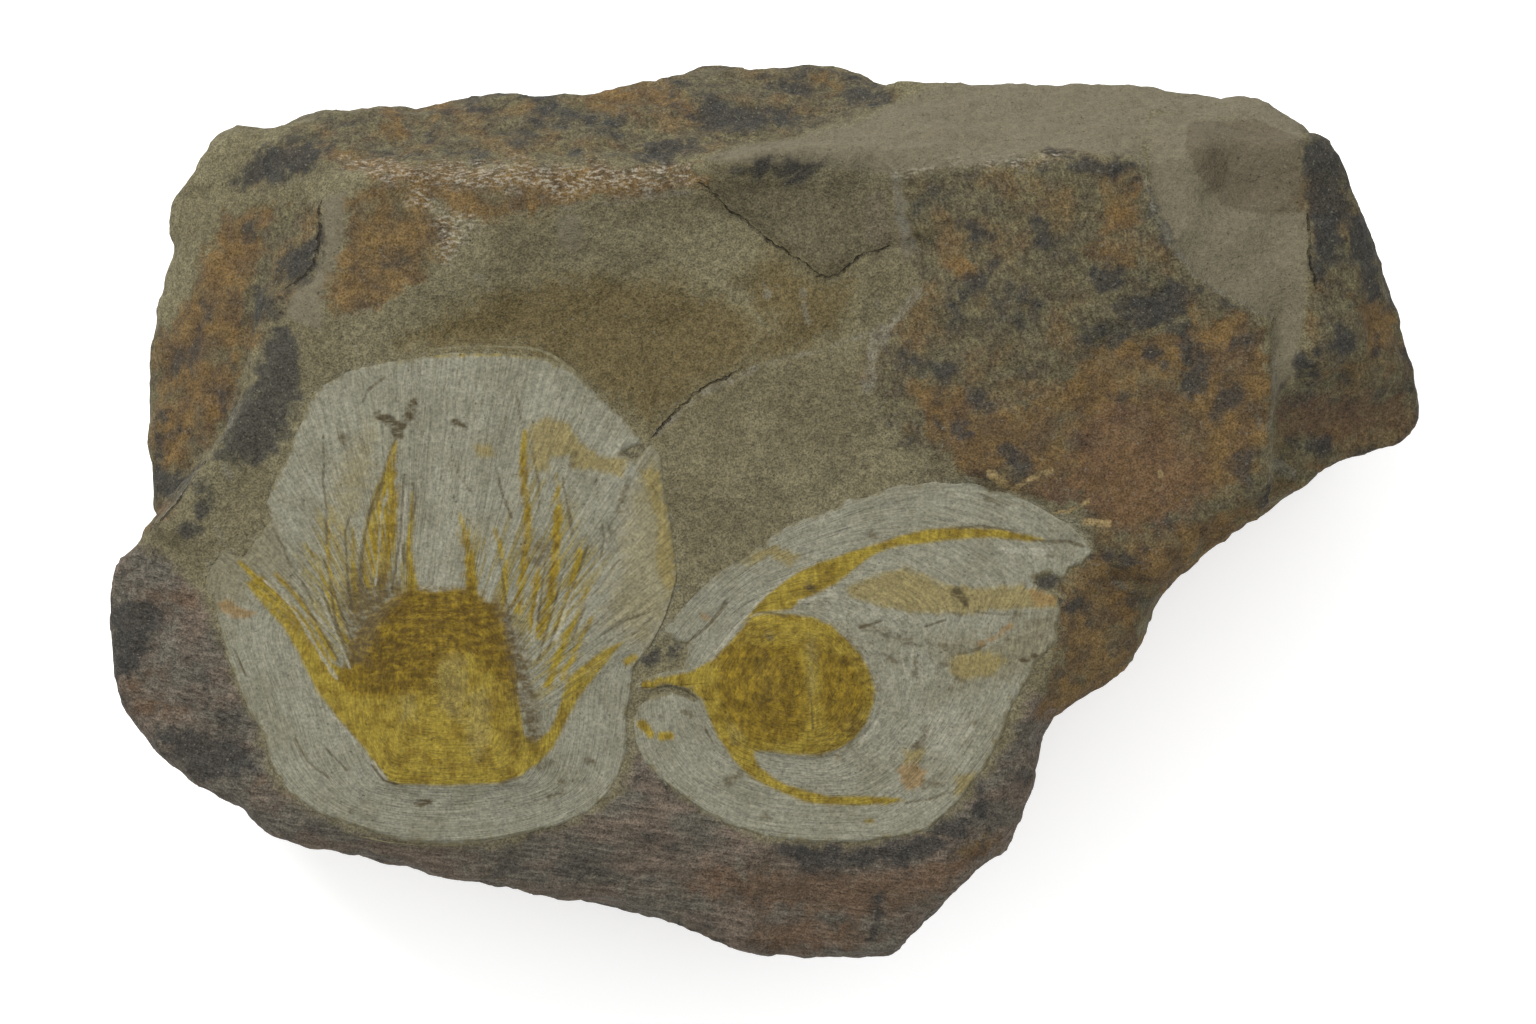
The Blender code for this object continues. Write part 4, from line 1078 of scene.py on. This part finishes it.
def shield_body(name, stations, height_of):
    """A thin crust: a grid wrapped round the core, ring by ring out to the rim. Its course
    attribute says how far round and how far out a point is, and its fan attribute how much
    the shell is drawn out along the ribs there."""
    middle, columns = shield_columns(stations)
    bm = bmesh.new()
    bmesh.ops.create_grid(bm, x_segments=AROUND, y_segments=RINGS, size=0.5)
    course = bm.verts.layers.float_vector.new("course")
    fan = bm.verts.layers.float.new("fan")
    for corner in bm.verts:
        place, inner, outer = columns[round((corner.co.x + 0.5) * AROUND)]
        ring = round((corner.co.y + 0.5) * RINGS)
        if ring <= CORE_RINGS:
            outward = ring / CORE_RINGS
            spot = middle.lerp(inner, outward)
        else:
            outward = 1.0 + (ring - CORE_RINGS) / (RINGS - CORE_RINGS)
            spot = inner.lerp(outer, outward - 1.0)
        turn = 2 * math.pi * place / len(stations)
        round_it = (math.cos(turn) * COURSE_RADIUS, math.sin(turn) * COURSE_RADIUS)
        corner[course] = Vector((*round_it, outward * COURSE_LENGTH)) * MM
        height, corner[fan] = height_of(place, outward, spot)
        corner.co = Vector((spot.x, spot.y, FACE_LEVEL + CRUST_RISE + height)) * MM
    close_crust(bm)
    return new_object(bm, name)


def crust_grain(spot, start):
    """The fine grain of a shield's surface."""
    size, height = CRUST_GRAIN
    return noise.fractal(Vector((spot.x, spot.y, start)) / size, 1.0, 2.0, 3) * height


def dome_at(outward, height, start, end):
    """The height of a dome at a ring: it falls away between the rings start and end."""
    return height * (1.0 - smooth_step(start, end, outward))


def tail_height(place, outward, spot):
    """The tail's low dome, its raised axis, and the ribs that fan out from it; and how much
    the place lies in that fan."""
    dome = dome_at(outward, *TAIL_DOME)
    axis = dome_at(outward, *TAIL_AXIS)
    first, last = TAIL_FAN
    across = (place - first) / (last - first)
    in_fan = smooth_step(0.0, 0.06, across) * (1.0 - smooth_step(0.94, 1.0, across))
    on_rib = 0.5 - 0.5 * math.cos(2 * math.pi * TAIL_RIBS * across)
    length = smooth_step(*RIB_START, outward) * (1.0 - smooth_step(*RIB_END, outward))
    ribs = RIB_HEIGHT * on_rib * in_fan * length
    round_share, outward_share = WRINKLES
    wrinkles = noise.noise(Vector((place * round_share, outward * outward_share, 3.0)))
    wrinkles *= WRINKLE_HEIGHT
    height = dome + axis + ribs + wrinkles * length * in_fan + crust_grain(spot, 5.0)
    return height, in_fan * smooth_step(0.9, 1.1, outward)


def head_height(place, outward, spot):
    """The head's low dome, and its glabella as a rounded swelling. It has no fan."""
    dome = dome_at(outward, *HEAD_DOME)
    height, end = GLABELLA
    glabella = height * math.sqrt(1.0 - min(1.0, outward / end) ** 2)
    round_share, outward_share = BANDS
    bands = noise.noise(Vector((place * round_share, outward * outward_share, 8.0)))
    bands = bands * BAND_HEIGHT * smooth_step(*BAND_START, outward)
    return dome + glabella + bands + crust_grain(spot, 9.0), 0.0


def make_shield(name, stations, height_of, areas, strokes, node, slot):
    """A shield: its crust, sunk where the shell is gone, with the finest lines cut in."""
    shield = shield_body(name, stations, height_of)
    mesh = shield.data
    places = places_of(mesh)
    fields = marking_fields(tenths(*places.T), SHELL_KINDS, areas, strokes)
    top = places[:, 2] > FACE_LEVEL - CRUST_DEPTH / 2
    broken = 1.0 - smooth_step(*SINK_WIDTH, fields["shell"])
    grooves = smooth_step(-LINE_WIDTH, LINE_WIDTH, fields["line"])
    places[:, 2] -= (broken * CRUST_SINK + grooves * LINE_DEPTH) * top
    put_places(mesh, places)
    add_fields(mesh, fields)
    mesh.shade_smooth()
    mesh.materials.append(shell_finish(slot))
    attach(shield, "root")
    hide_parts(node)


class Paint:
    """One material's nodes, added one at a time. Sizes are in millimetres."""

    def __init__(self, name, roughness, gloss, edges=None):
        self.edges = edges
        self.material = bpy.data.materials.new(name)
        self.material.use_nodes = True
        self.tree = self.material.node_tree
        self.shader = self.tree.nodes["Principled BSDF"]
        self.shader.inputs["Roughness"].default_value = roughness
        self.shader.inputs["Specular IOR Level"].default_value = gloss
        self.place = self.node("ShaderNodeTexCoord").outputs["Object"]

    def node(self, kind, **settings):
        made = self.tree.nodes.new(kind)
        for name, value in settings.items():
            setattr(made, name, value)
        return made

    def feed(self, socket, value):
        if isinstance(value, bpy.types.NodeSocket):
            self.tree.links.new(value, socket)
        elif isinstance(value, tuple) and socket.type == "RGBA":
            socket.default_value = (*value, 1.0)
        else:
            socket.default_value = value

    def field(self, name):
        return self.node("ShaderNodeAttribute", attribute_name=name).outputs["Fac"]

    def course(self):
        return self.node("ShaderNodeAttribute", attribute_name="course").outputs["Vector"]

    def noise(self, size, detail=2.0, stretch=(1, 1, 1), turn=0.0, start=0.0, source=None, warp=0.0):
        """Noise whose lumps are about size across, longer along the turned axes by stretch."""
        mapping = self.node("ShaderNodeMapping", vector_type="TEXTURE")
        self.feed(mapping.inputs["Vector"], source or self.place)
        mapping.inputs["Location"].default_value = (start * MM, start * MM, start * MM)
        mapping.inputs["Rotation"].default_value = (0.0, 0.0, math.radians(turn))
        mapping.inputs["Scale"].default_value = tuple(size * MM * share for share in stretch)
        made = self.node("ShaderNodeTexNoise")
        made.inputs["Scale"].default_value = 1.0
        made.inputs["Detail"].default_value = detail
        made.inputs["Distortion"].default_value = warp
        self.feed(made.inputs["Vector"], mapping.outputs["Vector"])
        return made.outputs["Fac"]

    def maths(self, operation, *values):
        made = self.node("ShaderNodeMath", operation=operation)
        for socket, value in zip(made.inputs, values):
            self.feed(socket, value)
        return made.outputs[0]

    def both(self, first, second):
        """One number times another: how strongly two things show at once."""
        return self.maths("MULTIPLY", first, second)

    def mixed(self, share, first, second):
        """The number first where share is 0, and second where it is 1."""
        made = self.node("ShaderNodeMix", data_type="FLOAT")
        for index, value in ((0, share), (2, first), (3, second)):
            self.feed(made.inputs[index], value)
        return made.outputs[0]

    def span(self, value, low, high, start=0.0, end=1.0):
        """A soft change from start to end as value goes from low to high."""
        made = self.node("ShaderNodeMapRange", interpolation_type="SMOOTHSTEP")
        names = ("Value", "From Min", "From Max", "To Min", "To Max")
        for name, number in zip(names, (value, low, high, start, end)):
            self.feed(made.inputs[name], number)
        return made.outputs["Result"]

    def marking(self, kind, wander):
        """How strongly a marking shows: its soft edge wanders with the noise, to both sides."""
        soft, ragged, strength = self.edges[kind]
        moved = self.maths("MULTIPLY_ADD", wander, ragged * 4.0, -ragged * 2.0)
        depth = self.maths("ADD", self.field(kind), moved)
        return self.span(depth, -soft, soft, 0.0, strength)

    def blend(self, share, under, over):
        made = self.node("ShaderNodeMix", data_type="RGBA")
        self.feed(made.inputs["Factor"], share)
        self.feed(made.inputs[6], under)
        self.feed(made.inputs[7], over)
        return made.outputs[2]

    def coat(self, colour, wander, coats):
        """Lays the colour of each kind of marking over what is there, one after another."""
        for kind, over in coats.items():
            colour = self.blend(self.marking(kind, wander), colour, over)
        return colour

    def shade(self, colour, value, low, high, dark, light):
        """The colour times a factor that goes from dark to light with value."""
        factor = self.span(value, low, high, dark, light)
        made = self.node("ShaderNodeVectorMath", operation="SCALE")
        self.feed(made.inputs[0], colour)
        self.feed(made.inputs["Scale"], factor)
        return made.outputs[0]

    def bumps(self, *reliefs):
        """Fine relief: pairs of a noise and its depth in millimetres, one on top of another."""
        normal = None
        for height, depth in reliefs:
            made = self.node("ShaderNodeBump")
            made.inputs["Distance"].default_value = depth * MM
            self.feed(made.inputs["Height"], height)
            if normal is not None:
                self.feed(made.inputs["Normal"], normal)
            normal = made.outputs["Normal"]
        return normal

    def finish(self, colour, normal):
        self.feed(self.shader.inputs["Base Color"], colour)
        self.feed(self.shader.inputs["Normal"], normal)
        return self.material


def skin_colour(paint, dark):
    """The weathered skin: brown and olive, with orange and blue-black blotches."""
    tone = paint.noise(1.2, detail=6.0, start=3.0)
    skin = paint.blend(paint.span(tone, 0.36, 0.64), SKIN_BROWN, SKIN_OLIVE)
    orange = paint.noise(4.0, detail=4.0, start=21.0)
    skin = paint.blend(paint.span(orange, 0.42, 0.72, 0.0, 0.65), skin, SKIN_ORANGE)
    scratches = paint.noise(0.30, detail=4.0, stretch=(1.0, 3.0, 1.0), turn=20.0, start=91.0)
    skin = paint.shade(skin, scratches, 0.34, 0.66, 0.80, 1.22)
    return paint.blend(paint.span(dark, 0.50, 0.70, 0.0, 0.85), skin, SLATE)


def rust_colour(paint, dark):
    """Rusty joint faces, from deep brown to orange."""
    warm = paint.noise(2.4, detail=5.0, start=61.0)
    rust = paint.blend(paint.span(warm, 0.34, 0.66), RUST_DEEP, RUST_BRIGHT)
    olive = paint.noise(3.8, detail=4.0, start=67.0)
    rust = paint.blend(paint.span(olive, 0.50, 0.70, 0.0, 0.6), rust, SKIN_OLIVE)
    return paint.blend(paint.span(dark, 0.54, 0.72, 0.0, 0.7), rust, SLATE)


def plum_colour(paint, dark, strata):
    """The damp-looking margins: purple-brown and grey, drawn out along the bedding."""
    tone = paint.noise(3.5, detail=5.0, start=83.0, stretch=(2.0, 1.0, 1.0))
    plum = paint.blend(paint.span(tone, 0.42, 0.60), PLUM_GREY, PLUM)
    plum = paint.blend(paint.span(dark, 0.56, 0.68, 0.0, 0.6), plum, SLATE)
    return paint.shade(plum, strata, 0.38, 0.64, 0.80, 1.24)


def pale_marks(paint, colour, wander, edge):
    """Rubbed edges with painted highlight along edges that face the light, cream veins, streaky flecks,
    and a haze of shell round the shields.
    """
    # Pale wear and painted highlight along lit edges, broken up by noise
    rubbed_and_lit = paint.span(paint.noise(0.9, detail=5.0, start=33.0), 0.34, 0.58, 0.3, 1.0)
    colour = paint.blend(paint.both(paint.marking("worn", wander), rubbed_and_lit), colour, PALE_WEAR_AND_HIGHLIGHT)
    colour = paint.coat(colour, wander, {"cream": CREAM})
    streaks = paint.noise(0.28, detail=5.0, stretch=(2.4, 1.0, 1.0), start=29.0)
    flecks = paint.both(paint.span(streaks, 0.46, 0.62), paint.marking("fleck", wander))
    colour = paint.blend(flecks, colour, FLECK)
    return paint.coat(colour, edge, {"shell": SHELL_DUSKY})


def hairline_cracks(paint, wander, edge):
    """Where the stone's cracks are: fine lines that waver and break off here and there."""
    aside = paint.maths("MULTIPLY_ADD", edge, 0.9, -0.45)
    aside = paint.maths("ABSOLUTE", paint.maths("ADD", paint.field("crack_side"), aside))
    along = paint.span(paint.field("crack"), -0.6, -0.1, 0.0, 0.85)
    along = paint.both(along, paint.span(wander, 0.40, 0.56, 0.35, 1.0))
    return paint.both(paint.span(aside, 0.02, 0.17, 1.0, 0.0), along)


def weathered_colour(paint, wander, strata):
    """The stone's colours, from the tan of a fresh split over skin, rust and slate blue."""
    cloud = paint.noise(8.0, detail=5.0)
    dark = paint.noise(3.4, detail=3.5, start=47.0)
    colour = paint.blend(paint.span(cloud, 0.38, 0.62), TAN, DUN)
    return paint.coat(colour, wander, {
        # Darker tone, and painted shade in the hollow by the block
        "dim": DIM_AND_SHADE,
        "fresh": FRESH_TAN,
        # Painted shade in the scoop's bowl and in the hollow by the block
        "bowl": BOWL_SHADE,
        "ochre": OCHRE,
        "skin": skin_colour(paint, dark),
        "plum": plum_colour(paint, dark, strata),
        "rust": rust_colour(paint, dark),
        "red": RED_BROWN,
        "slate": SLATE,
    })


def stone_grain(paint, colour, wander, grain, speckle):
    """Fine light and dark grain, evener on fresh stone, with pale and dark specks."""
    even = paint.both(paint.marking("fresh", wander), 0.6)
    colour = paint.shade(colour, paint.mixed(even, grain, 0.5), 0.30, 0.70, 0.64, 1.36)
    colour = paint.shade(colour, paint.mixed(even, speckle, 0.5), 0.36, 0.64, 0.84, 1.16)
    specks = paint.noise(0.30, detail=1.0, start=53.0)
    colour = paint.blend(paint.span(specks, 0.66, 0.74, 0.0, 0.7), colour, PALE_WEAR_AND_HIGHLIGHT)
    return paint.shade(colour, specks, 0.25, 0.33, 0.5, 1.0)


def stone_finish():
    """Siltstone: tan where it is fresh, with a mottled brown skin, rust, slate blue and plum."""
    paint = Paint("siltstone", 0.9, 0.12, STONE_EDGES)
    wander = paint.noise(1.8, detail=7.0, start=5.0, warp=0.6)
    edge = paint.noise(0.8, detail=4.0, start=71.0)
    strata = paint.noise(0.42, detail=4.0, stretch=(9.0, 1.0, 1.0), turn=-8.0, start=41.0)
    grain = paint.noise(0.20, detail=3.0)
    speckle = paint.noise(0.7, detail=5.0, start=37.0)
    in_crack = hairline_cracks(paint, wander, edge)
    colour = weathered_colour(paint, wander, strata)
    colour = pale_marks(paint, colour, wander, edge)
    colour = stone_grain(paint, colour, wander, grain, speckle)
    colour = paint.blend(in_crack, colour, CRACK_DARK)
    lying_strata = paint.both(strata, paint.marking("plum", wander))
    uncracked = paint.maths("SUBTRACT", 1.0, in_crack)
    normal = paint.bumps(
        (paint.noise(2.2, detail=4.0), 0.35), (speckle, 0.25), (lying_strata, 0.35), (grain, 0.12),
        (uncracked, 0.6),
    )
    return paint.finish(colour, normal)


def streaks_of(paint, size, detail, start=0.0):
    """Noise drawn out along the ribs of a fan, and elsewhere round the shield."""
    course = paint.course()
    drawn = {"detail": detail, "start": start, "source": course, "warp": 0.25}
    outwards = paint.noise(size, stretch=(1.0, 1.0, STREAK_LENGTH), **drawn)
    round_it = paint.noise(size, stretch=(STREAK_LENGTH, STREAK_LENGTH, 1.0), **drawn)
    return paint.mixed(paint.field("fan"), round_it, outwards)


def shell_ground(paint, streaks, frayed, wander):
    """The shell's pale and dusky grey, with tan and beige washes."""
    cloud = paint.noise(4.0, detail=5.0)
    colour = paint.blend(paint.span(cloud, 0.40, 0.66, 0.0, 0.7), SHELL_GREY, SHELL_DUSKY)
    colour = paint.blend(paint.span(streaks, 0.52, 0.68, 0.0, 0.55), colour, SHELL_DUSKY)
    colour = paint.coat(colour, wander, {"faded": TAN})
    colour = paint.coat(colour, frayed, {"tan": SHELL_TAN})
    washed = paint.both(paint.span(streaks, 0.46, 0.56), 0.7)
    colour = paint.blend(paint.both(paint.marking("wash", wander), washed), colour, SHELL_STAIN)
    return paint.coat(colour, wander, {"beige": SHELL_TAN})


def shell_yellows(paint, colour, streaks, frayed, wander):
    """The iron-stained parts: yellow, amber and orange. In the fan they thin out in streaks."""
    tone = paint.noise(1.5, detail=6.0, start=31.0)
    yellow = paint.blend(paint.span(tone, 0.40, 0.66), SHELL_YELLOW, SHELL_OCHRE)
    yellow = paint.coat(yellow, wander, {"haze": SHELL_DUSKY})
    upright = paint.noise(0.30, detail=4.0, stretch=(1.0, 5.0, 1.0), start=15.0, warp=0.4)
    yellow = paint.shade(yellow, upright, 0.36, 0.64, 0.88, 1.12)
    gaps = paint.mixed(paint.field("fan"), 1.0, paint.span(streaks, 0.38, 0.52, 0.55, 1.0))
    colour = paint.blend(paint.both(paint.marking("yellow", frayed), gaps), colour, yellow)
    amber = paint.noise(0.5, detail=6.0, stretch=(1.0, 2.2, 1.0), start=57.0, warp=0.5)
    ochre = paint.blend(paint.span(amber, 0.30, 0.66), SHELL_DARK_AMBER, SHELL_AMBER)
    ochre = paint.shade(ochre, tone, 0.36, 0.64, 1.2, 0.78)
    return paint.coat(colour, wander, {"ochre": ochre, "orange": SHELL_ORANGE})


def shell_darks(paint, colour, wander):
    """Gritty brown, and darker stipple, murk with painted shade in one notch, and spots that are broken
    up by the same grit.
    """
    grit = paint.noise(0.42, detail=6.0, stretch=(3.0, 1.0, 1.0), start=7.0, warp=0.3)
    gritty = paint.span(grit, 0.38, 0.62)
    colour = paint.blend(paint.both(paint.marking("brown", wander), gritty), colour, SHELL_BROWN)
    broken = paint.span(grit, 0.36, 0.56, 0.40, 1.0)
    for kind, over in (("stipple", SHELL_UMBER), ("murk", SHELL_MURK_AND_SHADE), ("spot", SHELL_SPOT)):
        colour = paint.blend(paint.both(paint.marking(kind, wander), broken), colour, over)
    return colour


def shell_finish(name):
    """Pale grey fossil shell with yellow and brown stains, streaked along its growth."""
    paint = Paint(name, 0.8, 0.12, SHELL_EDGES)
    streaks = streaks_of(paint, 0.60, 5.0)
    fibres = streaks_of(paint, 0.24, 3.0, 9.0)
    wander = paint.noise(0.9, detail=5.0, start=71.0)
    frayed = paint.maths("MULTIPLY_ADD", streaks, 0.6, paint.both(wander, 0.4))
    colour = shell_ground(paint, streaks, frayed, wander)
    colour = shell_yellows(paint, colour, streaks, frayed, wander)
    colour = shell_darks(paint, colour, wander)
    # Pale streaks and patches, with painted highlight along some edges of the axis and the glabella
    colour = paint.coat(colour, wander, {"pale": SHELL_WHITE_AND_HIGHLIGHT, "bright": SHELL_WHITE_AND_HIGHLIGHT})
    # Dark lines, one of them a painted shadow under the head's yellow lobe
    colour = paint.coat(colour, frayed, {"line": SHELL_MURK_AND_SHADE})
    hairs = paint.maths("ABSOLUTE", paint.maths("SUBTRACT", streaks, 0.5))
    colour = paint.blend(paint.span(hairs, 0.0, 0.014, 0.5, 0.0), colour, SHELL_MURK_AND_SHADE)
    colour = paint.blend(paint.marking("shell", wander), TAN, colour)

    grain = paint.noise(0.26, detail=3.0)
    speckle = paint.noise(0.7, detail=4.0, start=37.0)
    specks = paint.noise(0.40, detail=1.0, start=53.0)
    colour = paint.shade(colour, grain, 0.28, 0.72, 0.80, 1.20)
    colour = paint.shade(colour, speckle, 0.34, 0.66, 0.90, 1.10)
    colour = paint.shade(colour, fibres, 0.32, 0.68, 0.86, 1.14)
    colour = paint.shade(colour, specks, 0.24, 0.31, 0.6, 1.0)
    normal = paint.bumps((streaks, 0.16), (fibres, 0.07), (speckle, 0.10), (grain, 0.06))
    return paint.finish(colour, normal)


def make_floor():
    """A plain white floor, with a little light of its own so that it stays pale."""
    bm = bmesh.new()
    bmesh.ops.create_grid(bm, x_segments=1, y_segments=1, size=FLOOR_SIZE)
    floor = new_object(bm, "floor")
    paint = Paint("floor_white", 0.7, 0.2)
    paint.shader.inputs["Emission Color"].default_value = (1.0, 1.0, 1.0, 1.0)
    paint.shader.inputs["Emission Strength"].default_value = FLOOR_GLOW
    normal = paint.bumps((paint.noise(3.0), 0.01))
    floor.data.materials.append(paint.finish(FLOOR_WHITE, normal))


def area_light(name, place, width, power):
    """A round lamp that points at the stone."""
    lamp = bpy.data.lights.new(name, "AREA")
    lamp.shape = "DISK"
    lamp.size = width
    lamp.energy = power
    obj = bpy.data.objects.new(name, lamp)
    bpy.context.scene.collection.objects.link(obj)
    obj.location = place
    obj.rotation_euler = (Vector(place) - Vector(LIGHT_TARGET)).to_track_quat("Z", "Y").to_euler()


def make_light():
    """Soft white light from all round, and more of it from above and behind the stone."""
    world = bpy.data.worlds.new("studio")
    world.use_nodes = True
    background = world.node_tree.nodes["Background"]
    background.inputs["Color"].default_value = (1.0, 1.0, 1.0, 1.0)
    background.inputs["Strength"].default_value = WORLD_LIGHT
    bpy.context.scene.world = world
    area_light("key_light", *KEY_LIGHT)
    area_light("fill_light", *FILL_LIGHT)
    bpy.context.scene.view_settings.view_transform = "Standard"


def make_camera():
    """Straight above the bedding face, as one looks at a specimen that lies on a table."""
    camera = bpy.data.cameras.new("camera")
    camera.sensor_width = SENSOR
    camera.lens = SENSOR * VIEW_DISTANCE / VIEW_SIZE[0]
    camera.clip_start = 0.01
    obj = bpy.data.objects.new("camera", camera)
    bpy.context.scene.collection.objects.link(obj)
    obj.location = Vector((*VIEW_MIDDLE, FACE_LEVEL + VIEW_DISTANCE)) * MM
    bpy.context.scene.camera = obj


make_camera()
make_light()
make_floor()
make_stone()
make_shield("tail_crust", TAIL_STATIONS, tail_height, TAIL_AREAS, TAIL_STROKES,
            "tail_shield", "tail_shell")
make_shield("head_crust", HEAD_STATIONS, head_height, HEAD_AREAS, HEAD_STROKES,
            "head_shield", "head_shell")
